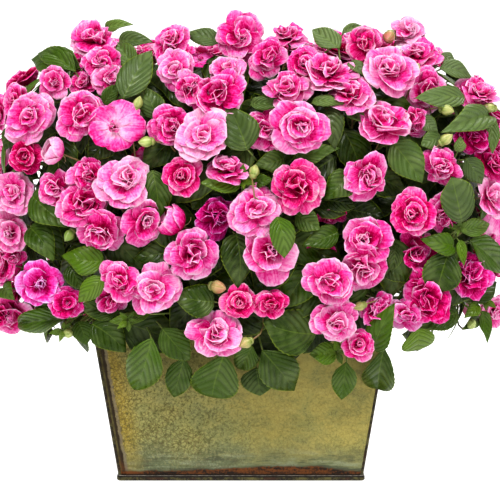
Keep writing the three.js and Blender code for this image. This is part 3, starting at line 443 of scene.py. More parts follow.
def inner_leaves():
    """Leaves deeper in the crown, which close the gaps between the outer ones; their dark green is painted
    shade.
    """
    found = []
    for share, count, turn in INNER_LAYERS:
        for at, out, number in spread_over_crown(count, turn, share):
            over_planter = abs(at[0]) < STEM_ROOM["half_wide"] and abs(at[1]) < STEM_ROOM["half_deep"]
            if at[2] < STEM_ROOM["height"] and over_planter:
                continue
            if out @ TO_EYE < BACK["turned_away"]:
                at = at - out * BACK["sunk"] * INNER["sunk_share"]
            lower = INNER["below_top"] + INNER["below_more"] * scatter(number, 15)
            at[2] = min(at[2], BACK["highest"] - lower)
            way = downhill(out, stray(number, 11 + share, INNER["turn"]))
            length = INNER["leaf"] + INNER["leaf_more"] * scatter(number, 12 + share)
            most = INNER["outer_tilt"] if share > INNER["outer_layer"] else INNER["tilt"]
            face = out + Z * 0.35 + across(way) * stray(number, 13 + share, most)
            half = way * length / 2
            # Painted shade: these leaves are dark because they lie deep in the crown.
            width, bright = length * INNER["width_share"], INNER["bright"] * scatter(number, 14)
            found.append(leaf_row(at - half, at + half, face, width, bright, "inner"))
    return found


def bezier(points, t):
    a, b, c, d = points
    s = 1 - t
    return a * s**3 + b * 3 * s * s * t + c * 3 * s * t * t + d * t**3


def stem_paths():
    """Four guide points for each main stem, from its root to its tip."""
    root_z = PLANTER["height"] - PLANTER["soil_below_rim"] - ROOT_DEPTH
    paths = []
    for ring, (count, tip_z, reach, root_reach, arch) in enumerate(STEM_RINGS):
        for i in range(count):
            angle = 2 * math.pi * (i + 0.5 * (ring % 2)) / count
            way = np.array([CROWN["wide"] * math.sin(angle), -CROWN["deep"] * math.cos(angle), 0])
            tip = way * reach + np.array([CROWN["x"] * (reach > 0), 0, tip_z])
            root = way * root_reach + Z * root_z
            rise = root + (tip - root) * STEM_BEND["rise"]
            rise[2] = root_z + STEM_BEND["height"] * (tip_z - root_z) + arch
            bend = root + (tip - root) * STEM_BEND["bend"]
            bend[2] = tip_z + STEM_BEND["arch"] * arch
            paths.append((root, rise, bend, tip))
    return paths


PATHS = stem_paths()
# The hub of each bloom spray, just past its stem's tip, and the way that the stem points there.
HUBS = []
for path in PATHS:
    tip_way = unit(path[3] - path[2])
    HUBS.append((path[3] + tip_way * (HUB_RADIUS + GAP + HUB_CLEAR), tip_way))


def carrier_of(at, way):
    """The stem that a leaf or bloom grows from: a near one that lies behind it."""
    cost = [np.linalg.norm(at - hub) * (1.6 - 0.6 * (unit(at - hub) @ way)) for hub, _ in HUBS]
    return int(np.argmin(cost))


# ---------------------------------------- meshes as plain arrays

# A shape is a dict: points (n, 3), faces as a list of index lists, uv for each face corner, and grow:
# for each point its place across and along its petal or leaf, and the notes that its colour needs.
# Once coloured, a shape has a tint for each point and a material slot for each face in grow's place.
# The slots: petals or leaves, then calyxes, stalks and stems, then buds.
FACE_SLOT, STALK_SLOT, BUD_SLOT = 0, 1, 2


def merged(shapes):
    """Several shapes as one."""
    count, faces = 0, []
    for shape in shapes:
        faces += [face + count for face in shape["faces"]]
        count += len(shape["points"])
    keys = [key for key in shapes[0] if key != "faces"]
    joined = {key: np.concatenate([shape[key] for shape in shapes]) for key in keys}
    return {**joined, "faces": faces}


def to_mesh(name, shape, materials):
    """A piece from a shape, with its map, tint and materials."""
    mesh = bpy.data.meshes.new(name)
    sizes = np.array([len(f) for f in shape["faces"]])
    corners = np.concatenate(shape["faces"])
    mesh.vertices.add(len(shape["points"]))
    mesh.vertices.foreach_set("co", (shape["points"] * MM).astype(np.float32).ravel())
    mesh.loops.add(len(corners))
    mesh.loops.foreach_set("vertex_index", corners.astype(np.int32))
    mesh.polygons.add(len(sizes))
    mesh.polygons.foreach_set("loop_start", (np.cumsum(sizes) - sizes).astype(np.int32))
    mesh.polygons.foreach_set("material_index", shape["slot"].astype(np.int32))
    mesh.polygons.foreach_set("use_smooth", np.ones(len(sizes), dtype=bool))
    uv_map = mesh.uv_layers.new(name="growth")
    uv_map.data.foreach_set("uv", shape["uv"].astype(np.float32).ravel())
    tint = mesh.color_attributes.new(name="tint", type="FLOAT_COLOR", domain="POINT")
    colours = np.ones((len(shape["points"]), 4), dtype=np.float32)
    colours[:, :3] = shape["tint"]
    tint.data.foreach_set("color", colours.ravel())
    mesh.update(calc_edges=True)
    mesh.validate()
    for material in materials:
        mesh.materials.append(material)
    piece = bpy.data.objects.new(name, mesh)
    bpy.context.scene.collection.objects.link(piece)
    return piece


def coloured(shape, tint, slot):
    """A shape with its tint and its material slot, ready to be merged into a piece."""
    made = {key: shape[key] for key in ("points", "faces", "uv")}
    made["tint"] = np.broadcast_to(tint, shape["points"].shape)
    made["slot"] = np.broadcast_to(slot, len(shape["faces"]))
    return made


def read(items, key, width):
    """What a mesh's vertices, corners or map hold, one row for each."""
    values = np.empty(len(items) * width)
    items.foreach_get(key, values)
    return values.reshape(-1, width)


def flat_grid(columns, rows):
    """A new grid one unit across, the only thing selected, and its points."""
    bpy.ops.mesh.primitive_grid_add(x_subdivisions=columns, y_subdivisions=rows, size=1, calc_uvs=True)
    grid = bpy.context.object
    bpy.ops.object.select_all(action="DESELECT")
    grid.select_set(True)
    bpy.context.view_layer.objects.active = grid
    return grid, read(grid.data.vertices, "co", 3)


def thicken(sheet, thickness, offset):
    """Gives a sheet its thickness, closed along its edges."""
    skin = sheet.modifiers.new("thickness", "SOLIDIFY")
    skin.thickness = thickness
    skin.offset = offset
    bpy.ops.object.modifier_apply(modifier="thickness")


def grown(along, notes):
    """For each point its place across and along its sheet, followed by the same notes."""
    return np.hstack([along, np.tile(np.array(notes, dtype=float), (len(along), 1))])


def sheet_shape(columns, rows, surface, thickness, notes):
    """A thin closed sheet over a grid: surface(u, v) places it, u from -1 to 1 and v from 0 to 1."""
    grid, flat = flat_grid(columns, rows)
    mesh = grid.data
    mesh.vertices.foreach_set("co", surface(flat[:, 0] * 2, flat[:, 1] + 0.5).ravel())
    mesh.update()
    thicken(grid, thickness, 0)
    points = read(mesh.vertices, "co", 3)
    uv = read(mesh.uv_layers[0].data, "uv", 2)
    faces = [np.array(p.vertices) for p in mesh.polygons]
    along = np.zeros((len(points), 2))
    along[np.concatenate(faces)] = uv
    bpy.data.objects.remove(grid)
    return {"points": points, "faces": faces, "uv": uv, "grow": grown(along, notes)}


def tube_shape(centres, radii, sides, notes):
    """A round rod with closed ends along points; its map runs round and along it."""
    centres = np.array(centres, dtype=float)
    steps = len(centres)
    ways = np.gradient(centres, axis=0)
    side = across(unit(ways[0]))
    points = []
    for i in range(steps):
        way = unit(ways[i])
        side = unit(side - way * (side @ way))
        up = np.cross(way, side)
        for k in range(sides):
            turn = 2 * math.pi * k / sides
            points.append(centres[i] + radii[i] * (side * math.cos(turn) + up * math.sin(turn)))
    faces, uv = [], []
    for i in range(steps - 1):
        for k in range(sides):
            j = (k + 1) % sides
            faces.append(np.array([i * sides + k, i * sides + j, (i + 1) * sides + j, (i + 1) * sides + k]))
            uv += [(k / sides, i / steps), ((k + 1) / sides, i / steps)]
            uv += [((k + 1) / sides, (i + 1) / steps), (k / sides, (i + 1) / steps)]
    faces.append(np.arange(sides)[::-1])
    faces.append(np.arange(sides) + (steps - 1) * sides)
    uv += [(0.5, 0.0)] * sides + [(0.5, 1.0)] * sides
    along = np.column_stack([np.full(len(points), 0.5), np.repeat(np.linspace(0, 1, steps), sides)])
    return {"points": np.array(points), "faces": faces, "uv": np.array(uv), "grow": grown(along, notes)}


# ---------------------------------------- petals and blooms

# The notes of a bloom's points: petal or calyx, the depth in the bloom, and a chance for each petal,
# which is above SPUR_FROM on the spur.
PETAL, CALYX = 0.0, 1.0


def petal_surface(spec, draw):
    """One petal's surface: it leans out from the bloom's middle, opens wide and ruffles at its rim."""
    phase = draw.uniform(0, 2 * math.pi, 4)
    curl = draw.uniform(-0.6, 1.0)
    half_turn = rad(84)

    def surface(u, v):
        steps = 24
        fine = np.linspace(0, 1, steps + 1)
        lean = np.radians(spec["lean"] + (spec["roll"] - spec["lean"]) * fine ** 1.3)
        halfway = (lean[1:] + lean[:-1]) / 2
        reach = np.concatenate([[0], np.cumsum(np.sin(halfway)) / steps]) * spec["long"]
        rise = np.concatenate([[0], np.cumsum(np.cos(halfway)) / steps]) * spec["long"]
        round_end = 0.46 * spec["wide"] / spec["long"] * (1 - np.cos(u * half_turn)) * v ** 2.2
        notch = spec["notch"] * np.exp(-((u / 0.28) ** 2)) * v ** 4
        along = np.clip(v * (1 - round_end - notch), 0, 1)
        r = spec["start"] + np.interp(along, fine, reach)
        z = spec["height"] + np.interp(along, fine, rise)
        angle = np.interp(along, fine, lean)
        broad = 0.24 + 0.76 * np.sin(np.clip(v / 0.6, 0, 1) * math.pi / 2)
        s = np.sin(u * half_turn) * broad * spec["wide"] / 2
        hoop = np.maximum(r, 0.05) / max(spec["wrap"], 1e-3)
        turn = np.clip(s / hoop, -2.4, 2.4)
        lateral = hoop * np.sin(turn)
        inward = hoop * (1 - np.cos(turn))
        rim = np.clip((v - 0.2) / 0.8, 0, 1) ** 1.3
        wave = np.sin(spec["waves"] * u * math.pi + phase[0])
        wave = wave + 0.35 * np.sin(spec["waves"] * 1.7 * u * math.pi + phase[1] + 2 * v)
        crumple = 0.45 * np.sin(5 * v + phase[2]) * np.cos(2.2 * u + phase[3])
        lift = spec["ruffle"] * (rim * (0.4 + 0.6 * np.abs(u)) * wave + crumple * v + curl * u * u * v)
        lift = lift + spec["pinwheel"] * u * rim
        lift = lift - 0.35 * spec["ruffle"] * np.exp(-((u * 3) ** 2)) * np.sin(v * math.pi)
        y = r - inward - np.cos(angle) * lift
        z = z + np.sin(angle) * lift
        return np.stack([lateral, y, z], axis=1)

    return surface


def turned(points, angle):
    c, s = math.cos(angle), math.sin(angle)
    return points @ np.array([[c, s, 0], [-s, c, 0], [0, 0, 1]])


# Outer rounds of petals: how many, length, width, lean at the base and at the tip in degrees from
# upright, how much the leans differ, height of the base, wrap, ruffle, waves and depth.
ROUNDS = {
    "ruffled": [
        (6, 0.51, 0.47, 74, 100, 6, -0.05, 0.05, 0.040, 1.0, 0.0),
        (4, 0.45, 0.46, 62, 92, 12, -0.02, 0.05, 0.052, 1.0, 0.1),
    ],
    "disc": [
        (6, 0.51, 0.47, 76, 99, 5, -0.04, 0.05, 0.040, 1.0, 0.0),
        (6, 0.45, 0.45, 66, 92, 9, -0.01, 0.05, 0.048, 1.0, 0.08),
    ],
    "rose": [
        (5, 0.52, 0.56, 70, 101, 6, -0.06, 0.05, 0.038, 0.9, 0.0),
        (5, 0.43, 0.50, 54, 86, 10, -0.03, 0.2, 0.044, 1.0, 0.2),
        (4, 0.33, 0.46, 30, 62, 12, 0.00, 0.5, 0.044, 1.0, 0.45),
        (3, 0.25, 0.38, 8, 34, 10, 0.02, 0.8, 0.032, 1.0, 0.7),
        (3, 0.20, 0.28, -8, 8, 6, 0.03, 1.0, 0.018, 0.9, 0.9),
    ],
    "half_open": [
        (5, 0.54, 0.56, 60, 95, 12, -0.05, 0.2, 0.050, 0.9, 0.0),
        (3, 0.43, 0.52, 36, 66, 14, -0.02, 0.3, 0.052, 1.0, 0.2),
        (4, 0.34, 0.42, 14, 14, 5, 0.0, 0.9, 0.024, 0.9, -0.7),
        (3, 0.30, 0.34, 0, -8, 5, 0.02, 1.0, 0.016, 0.8, 0.4),
    ],
    "crumpled": [
        (6, 0.50, 0.47, 68, 100, 8, -0.06, 0.05, 0.048, 1.0, 0.0),
        (4, 0.43, 0.45, 56, 88, 12, -0.02, 0.05, 0.058, 1.1, 0.1),
    ],
    "flat": [
        (5, 0.53, 0.56, 76, 97, 7, -0.02, 0.05, 0.056, 1.0, 0.0),
    ],
    "rosebud": [
        (3, 0.92, 0.88, 82, -46, 5, -0.14, 1.0, 0.012, 0.8, 0.25),
        (4, 0.90, 0.80, 80, -56, 4, -0.12, 1.0, 0.010, 0.8, -0.4),
        (3, 0.72, 0.56, 70, -46, 4, -0.08, 1.0, 0.008, 0.7, 0.1),
    ],
}
# The inner petals, on a spiral: how many; length, width and lean of the outermost and of the innermost
# one; how much the leans differ; ruffle; how far apart their feet are.
SPIRALS = {
    "ruffled": (13, 0.41, 0.24, 0.43, 0.28, 62, 8, 22, 0.064, 0.12),
    "disc": (12, 0.38, 0.21, 0.41, 0.26, 64, 14, 16, 0.056, 0.10),
    "rose": (0, 0, 0, 0, 0, 0, 0, 0, 0, 0),
    "half_open": (3, 0.22, 0.20, 0.24, 0.20, 30, 10, 20, 0.060, 0.05),
    "crumpled": (17, 0.38, 0.25, 0.40, 0.30, 56, 0, 28, 0.080, 0.17),
    "flat": (6, 0.13, 0.10, 0.13, 0.11, 40, 5, 15, 0.030, 0.03),
    "rosebud": (0, 0, 0, 0, 0, 0, 0, 0, 0, 0),
}
# How many blooms of each form are modelled, to be copied over the plant.
VARIANTS = {"ruffled": 7, "disc": 4, "rose": 3, "half_open": 3, "crumpled": 4, "flat": 3, "rosebud": 1}
# How unevenly the petals of each form stand: 0 for neat rounds and 1 for a tousled bloom.
TOUSLED = {
    "ruffled": 1.0, "disc": 0.8, "rose": 0.7, "half_open": 0.9, "crumpled": 1.3, "flat": 0.6, "rosebud": 0.3,
}
ROSEBUD_SIZE = 1.3
PETAL_THICKNESS = 0.007
SPUR_FROM = 0.6
# The guide points and radii of a bloom's calyx, of its spur, and of the cup under a bud.
CUP = [(0, 0, -0.14), (0, 0, -0.10), (0, 0, -0.03)], [0.035, 0.06, 0.045]
SPUR = (
    [(0, 0, -0.10), (0.05, 0.0, -0.17), (0.14, 0.02, -0.24), (0.25, 0.03, -0.26), (0.34, 0.02, -0.22)],
    [0.022, 0.018, 0.014, 0.010, 0.006],
)
BUD_CUP = [(0, 0, -0.62), (0, 0, -0.5), (0, 0, -0.34)], [0.12, 0.27, 0.33]


def petal_grid(depth):
    """Petals further in are smaller, so they need fewer faces."""
    if depth < 0.1:
        return 6, 5
    if depth < 0.3:
        return 6, 4
    return (5, 3) if depth < 0.5 else (4, 3)


def warp(points, draw):
    """How far a gentle swell through the whole bloom moves each point, so that its rings aren't neat."""
    moved = np.zeros_like(points)
    for size, waves in ((0.042, 4.6), (0.018, 9.5)):
        ways = draw.normal(0, 1, (3, 3)) * waves * 0.6
        phases = draw.uniform(0, 2 * math.pi, 3)
        moved = moved + size * np.sin(points @ ways + phases)
    outwards = np.clip(np.linalg.norm(points[:, :2], axis=1) * 4, 0.2, 1)[:, None]
    return moved * outwards * (points[:, 2:] > -0.12)


def bloom_template(form, variant):
    """A double bloom one unit across that faces up, with its calyx and spur."""
    draw = np.random.default_rng(sum(map(ord, form)) * 7 + variant)
    tousled = TOUSLED[form]
    pinwheel = 0.05 * tousled * draw.choice([-1, 1])
    shapes = []
    for count, long, wide, lean, roll, spread, height, wrap, ruffle, waves, depth in ROUNDS[form]:
        first = draw.uniform(0, 2 * math.pi)
        shift = np.append(draw.normal(0, 0.014 * tousled * (1 + 2 * abs(depth)), 2), 0)
        for k in range(count):
            jitter = draw.normal(0, 1, 6)
            leaned = spread * draw.uniform(-1, 1)
            spec = {
                "long": long * (1 + 0.08 * tousled * jitter[0]),
                "wide": wide * (1 + 0.09 * tousled * jitter[1]),
                "lean": lean + leaned,
                "roll": roll + 1.2 * leaned + 4 * jitter[3],
                "start": 0.012,
                "height": height + 0.012 * tousled * jitter[4],
                "wrap": wrap,
                "ruffle": ruffle * (1 + 0.25 * jitter[2]),
                "waves": waves,
                "notch": draw.uniform(0.02, 0.12),
                "pinwheel": pinwheel,
            }
            notes = (PETAL, depth, draw.uniform(0, 1))
            columns, rows = petal_grid(depth)
            petal = sheet_shape(columns, rows, petal_surface(spec, draw), PETAL_THICKNESS, notes)
            angle = first + 2 * math.pi * k / count + 0.18 * tousled * jitter[5]
            petal["points"] = turned(petal["points"], angle) + shift
            shapes.append(petal)
    count, long, last_long, wide, last_wide, lean, last_lean, spread, ruffle, feet = SPIRALS[form]
    off_centre = np.append(draw.normal(0, 0.02 * tousled, 2), 0)
    for k in range(count):
        inward = k / max(count - 1, 1)
        leaned = lean + (last_lean - lean) * inward + spread * draw.uniform(-1, 1)
        spec = {
            "long": (long + (last_long - long) * inward) * draw.uniform(0.88, 1.12),
            "wide": (wide + (last_wide - wide) * inward) * draw.uniform(0.8, 1.15),
            "lean": leaned,
            "roll": leaned + draw.uniform(-8, 42),
            "start": 0.01,
            "height": 0.03 * inward,
            "wrap": 0.15 + 0.3 * inward,
            "ruffle": ruffle * draw.uniform(0.7, 1.3),
            "waves": draw.uniform(0.9, 1.5),
            "notch": draw.uniform(0.0, 0.12),
            "pinwheel": pinwheel,
        }
        notes = (PETAL, 0.2 + 0.4 * inward + draw.uniform(-0.25, 0.15), draw.uniform(0, 1))
        columns, rows = (5, 4) if inward < 0.5 else (4, 3)
        petal = sheet_shape(columns, rows, petal_surface(spec, draw), PETAL_THICKNESS, notes)
        foot, way = draw.uniform(0, 2 * math.pi), feet * math.sqrt(draw.uniform(0, 1))
        petal["points"] = turned(petal["points"], GOLDEN_ANGLE * k + draw.uniform(-0.3, 0.3)) + off_centre
        petal["points"] = petal["points"] + np.array([way * math.cos(foot), way * math.sin(foot), 0])
        shapes.append(petal)
    shapes.append(tube_shape(*CUP, 6, (CALYX, 0, 0.3)))
    shapes.append(tube_shape(*SPUR, 4, (CALYX, 0, 0.9)))
    bloom = merged(shapes)
    bloom["points"] = bloom["points"] + tousled * warp(bloom["points"], draw)
    petals = bloom["points"][bloom["grow"][:, 2] == PETAL]
    low, high = petals.min(axis=0), petals.max(axis=0)
    if form != "rosebud":
        bloom["points"] = (bloom["points"] - (low + high) / 2 * (1, 1, 0)) / (high - low)[:2].mean()
    return bloom


def bud_template():
    """A closed bud one unit wide: a drop with faint folds, and its small calyx."""

    def surface(u, v):
        angle = (u + 1) * math.pi
        body = np.sin(np.clip(v, 0.001, 0.999) * math.pi) ** 0.75 * (1 - 0.38 * v)
        reach = 0.5 * body * (1 + 0.05 * np.cos(3 * angle + 4 * v))
        return np.stack([reach * np.sin(angle), -reach * np.cos(angle), -0.5 + 1.15 * v], axis=1)

    columns, rows = 9, 7
    points, faces, uv, along = [], [], [], []
    for j in range(1, rows):
        for i in range(columns):
            points.append(surface(np.array([2 * i / columns - 1]), np.array([j / rows]))[0])
            along.append((i / columns, j / rows))
    points += [np.array([0, 0, -0.5]), np.array([0, 0, 0.65])]
    along += [(0.5, 0), (0.5, 1)]
    low, high = len(points) - 2, len(points) - 1
    for i in range(columns):
        k = (i + 1) % columns
        faces.append(np.array([low, k, i]))
        uv += [(0.5, 0), (k / columns, 1 / rows), (i / columns, 1 / rows)]
        for j in range(rows - 2):
            a, b = j * columns, (j + 1) * columns
            faces.append(np.array([a + i, a + k, b + k, b + i]))
            uv += [(i / columns, (j + 1) / rows), (k / columns, (j + 1) / rows)]
            uv += [(k / columns, (j + 2) / rows), (i / columns, (j + 2) / rows)]
        top = (rows - 2) * columns
        faces.append(np.array([top + i, top + k, high]))
        uv += [(i / columns, 1 - 1 / rows), (k / columns, 1 - 1 / rows), (0.5, 1)]
    grow = grown(np.array(along), (PETAL, 0.0, 0.5))
    body = {"points": np.array(points), "faces": faces, "uv": np.array(uv), "grow": grow}
    return merged([body, tube_shape(*BUD_CUP, 6, (CALYX, 0, 0.3))])


# Petal colours from the palest to the deepest, and where each lies on a scale from 0 to 1.
PETAL_SCALE = [
    (0.00, (0.98, 0.68, 0.84)), (0.18, (0.95, 0.51, 0.74)), (0.36, (0.91, 0.34, 0.62)),
    (0.52, (0.88, 0.17, 0.50)), (0.68, (0.84, 0.045, 0.34)), (0.84, (0.70, 0.003, 0.175)),
    (1.00, (0.40, 0.001, 0.065)),
]
CALYX_COLOUR = np.array([0.30, 0.36, 0.10])
SPUR_COLOUR = np.array([0.42, 0.30, 0.16])
BUD_GREEN = np.array([0.22, 0.33, 0.06])
BUD_WHITE = np.array([0.46, 0.52, 0.17])
BUD_PINK = np.array([0.66, 0.05, 0.13])


def petal_tint(grow, tone, form, hue):
    """Each point's tint: on petals the depth of pink, painted shade and highlight included, and its hue;
    elsewhere a colour.
    """
    u, v, kind, depth, chance = grow.T
    edge = np.abs(u - 0.5) * 2
    # Deeper pink on the inner petals and towards each petal's base is painted shade deep in the bloom; the
    # chance terms vary it from petal to petal.
    scale = tone + 0.20 * np.maximum(depth, -0.5) * (0.6 + tone) + 0.44 * (chance - 0.5)
    scale = scale + 1.12 * (1 - v) ** 1.3 + 0.5 * (0.35 - (chance * 7) % 1) * v ** 3
    if form == "flat":
        flush = 0.3 + 0.6 * ((chance * 5) % 1)
        open_petal = tone + 0.34 * v ** 2 - flush * np.exp(-((v / 0.5) ** 2)) + 0.3 * (chance - 0.5)
        scale = np.where(depth < 0.2, open_petal, scale - 0.15)
    # Lighter side edges, and lighter rims on roses, are a painted highlight where the edges catch the light.
    if form == "rose":
        scale = scale - 0.22 * edge ** 4 * v ** 2
    scale = scale - 0.12 * edge ** 4 * v
    pinkness = np.clip((scale + 0.3) / 1.7, 0, 1)
    colours = np.stack([pinkness, np.full(len(v), hue), np.zeros(len(v))], axis=1)
    if form == "bud":
        pink = np.clip(tone, 0, 1)
        white = BUD_WHITE if tone >= 0 else BUD_GREEN
        low = BUD_GREEN + (white - BUD_GREEN) * np.clip(v * 1.8, 0, 1)[:, None]
        colours = low + (BUD_PINK - low) * (pink * np.clip(v * 1.4, 0, 1))[:, None]
    green = CALYX_COLOUR + (SPUR_COLOUR - CALYX_COLOUR) * (chance > SPUR_FROM)[:, None]
    return np.where((kind == CALYX)[:, None], green, colours)


def placed(shape, scale, side, up, way, at):
    """A copy of a shape, its local X, Y and Z laid along these directions."""
    points = (shape["points"] * scale) @ np.array([side, up, way]) + at
    return {**shape, "points": points}


def bud_way(row, number):
    """Buds hang or lie to one side on their stalks, so they aren't seen end on."""
    angle = 2 * math.pi * scatter(number, 41)
    beside = across(row["out"])
    beside = beside * math.cos(angle) + np.cross(row["out"], beside) * math.sin(angle)
    return unit(row["out"] * 0.45 + beside - Z * 0.35)


def bloom_copy(row, number):
    """One bloom or bud of the plant: a template of its form, turned, squashed a little and coloured."""
    form, out, width = row["form"], row["out"], row["width"]
    if form == "rosebud":
        width *= ROSEBUD_SIZE
    choice = BLOOMS[form][int(scatter(number, 21) * len(BLOOMS[form]))]
    spin = 2 * math.pi * scatter(number, 22)
    side = across(out)
    up = np.cross(out, side)
    side, up = side * math.cos(spin) + up * math.sin(spin), up * math.cos(spin) - side * math.sin(spin)
    squash = np.array([1 + stray(number, 23, 0.2), 1 + stray(number, 24, 0.2), 1.0])
    copy = placed(choice, width * squash, side, up, out, row["at"])
    tint = petal_tint(choice["grow"], row["tone"], form, row["hue"])
    is_calyx = [choice["grow"][face[0], 2] == CALYX for face in choice["faces"]]
    return coloured(copy, tint, np.where(is_calyx, STALK_SLOT, BUD_SLOT if form == "bud" else FACE_SLOT))


def stalk_shape(points, radii, sides, colour_low, colour_high):
    """A thin stalk through four guide points, tinted from one end to the other."""
    centres = [bezier(points, t) for t in np.linspace(0, 1, len(radii))]
    rod = tube_shape(centres, radii, sides, (CALYX, 0, 0))
    along = rod["grow"][:, 1:2]
    return coloured(rod, colour_low + (colour_high - colour_low) * along, STALK_SLOT)


# ---------------------------------------- leaves

LEAF_VEINS = 7
SERRATION = 0.022
LEAF_THICKNESS = 0.011
# The leaves of each kind: how many forms, the first one's number, rows and columns of faces, and how
# they narrow towards base and tip.
LEAF_KINDS = {
    "back": (8, 0, 14, 6, 0.68, 0.95),
    "inner": (4, 10, 8, 4, 0.68, 0.95),
    "front": (8, 20, 21, 8, 0.68, 0.95),
    "blunt": (2, 30, 21, 8, 0.8, 0.5),
}


def leaf_template(variant, rows, columns, narrow, point):
    """A leaf one unit long and wide, its rows laid along its veins, base at the origin, tip on +Y."""
    draw = np.random.default_rng(40 + variant)
    droop, fold, sway = draw.uniform(0.3, 1.05), draw.uniform(0.15, 0.6), draw.uniform(-0.16, 0.16)
    wave, edge_wave, twist = draw.uniform(0, 6), draw.uniform(0.01, 0.03), draw.uniform(-0.35, 0.35)

    def surface(u, v):
        t = np.abs(u)
        root, end = v ** 2.1, v ** 0.58
        reach = root + (end - root) * t ** 1.35
        widest = narrow / (narrow + point)
        peak = widest ** narrow * (1 - widest) ** point
        outline = np.clip(end, 0, 1) ** narrow * np.clip(1 - end, 0, 1) ** point / peak
        odd = np.round(v * rows).astype(int) % 2 == 1
        teeth = 1 + SERRATION * np.where(odd, 1, -1) * (t > 0.95)
        x = np.sign(u) * t * 0.5 * outline * teeth + sway * np.sin(math.pi * reach) * 0.5
        ridges = -np.cos(2 * math.pi * LEAF_VEINS * v)
        corrugation = 0.011 * ridges * np.sin(np.clip(t, 0, 1) * math.pi) ** 0.6 * np.sin(math.pi * v) ** 0.5
        z = fold * np.abs(x) - fold * 1.35 * x * x + corrugation
        z = z + edge_wave * np.sin(wave + 8 * reach) * t ** 2
        z = z + twist * x * (reach - 0.5)
        bend = droop * reach
        y = np.sin(bend) / droop - z * np.sin(bend)
        z = -(1 - np.cos(bend)) / droop + z * np.cos(bend)
        return np.stack([x, y, z], axis=1)

    shape = sheet_shape(columns, rows, surface, LEAF_THICKNESS, (0,))
    # A leaf's one note says which of its points are on the underside.
    half = len(shape["points"]) // 2
    first_is_upper = shape["points"][:half, 2].mean() > shape["points"][half:, 2].mean()
    shape["grow"][:, 2] = np.where((np.arange(2 * half) < half) == first_is_upper, 0, 1)
    tip = surface(np.array([0.0]), np.array([1.0]))[0]
    angle = math.atan2(tip[2], tip[1])
    c, s = math.cos(-angle), math.sin(-angle)
    y, z = shape["points"][:, 1].copy(), shape["points"][:, 2].copy()
    shape["points"][:, 1] = (c * y - s * z) / math.hypot(tip[1], tip[2])
    shape["points"][:, 2] = s * y + c * z
    return shape


# Leaf greens by brightness, from a near black, the painted shade of leaves deep in the crown, to a light
# green.
LEAF_STEPS = [0.0, 0.3, 0.6, 1.0]
LEAF_COLOURS = np.array([
    (0.004, 0.009, 0.001), (0.025, 0.055, 0.001), (0.062, 0.128, 0.004), (0.145, 0.245, 0.014),
])
# The grey-green of the painted sheen on leaves high up on the right, and the most of it that they take.
PAINTED_SHEEN_GREY = np.array([0.19, 0.245, 0.12])
PAINTED_SHEEN_SHARE, UNDERSIDE_SHARE = 0.62, 0.6
STALK_GREEN = np.array([0.20, 0.30, 0.06])
STALK_RED = np.array([0.26, 0.16, 0.07])
# The radii along a bloom's stalk, a leaf's stalk and a main stem, and how many sides each has.
BLOOM_STALK = np.linspace(0.95, 0.8, 7), 5
LEAF_STALK = np.linspace(1.3, 0.8, 6), 5
MAIN_STEM = np.linspace(4.2, 3.2, 14), 9
UNDERSIDE = np.array([0.06, 0.10, 0.02])


def leaf_copy(row, number):
    """One leaf of the plant: a template of its kind, laid from its base to its tip and coloured."""
    pool = LEAVES[row["kind"]]
    template = pool[int(scatter(number, 33) * len(pool))]
    way = row["tip"] - row["base"]
    length = np.linalg.norm(way)
    way = unit(way)
    up = unit(row["face"] - way * (row["face"] @ way))
    side = np.cross(way, up)
    scale = np.array([row["width"], length, length])
    copy = placed(template, scale, side, way, up, row["base"])
    bright = np.clip(row["bright"] + stray(number, 31, 0.26), 0, 1)
    colour = np.array([np.interp(bright, LEAF_STEPS, LEAF_COLOURS[:, k]) for k in range(3)])
    # Painted sheen on the leaves high up on the right.
    colour = colour + (PAINTED_SHEEN_GREY - colour) * PAINTED_SHEEN_SHARE * row["painted_sheen"]
    below = template["grow"][:, 2:3]
    return coloured(copy, colour + UNDERSIDE_SHARE * (UNDERSIDE - colour) * below, FACE_SLOT)


# ---------------------------------------- materials


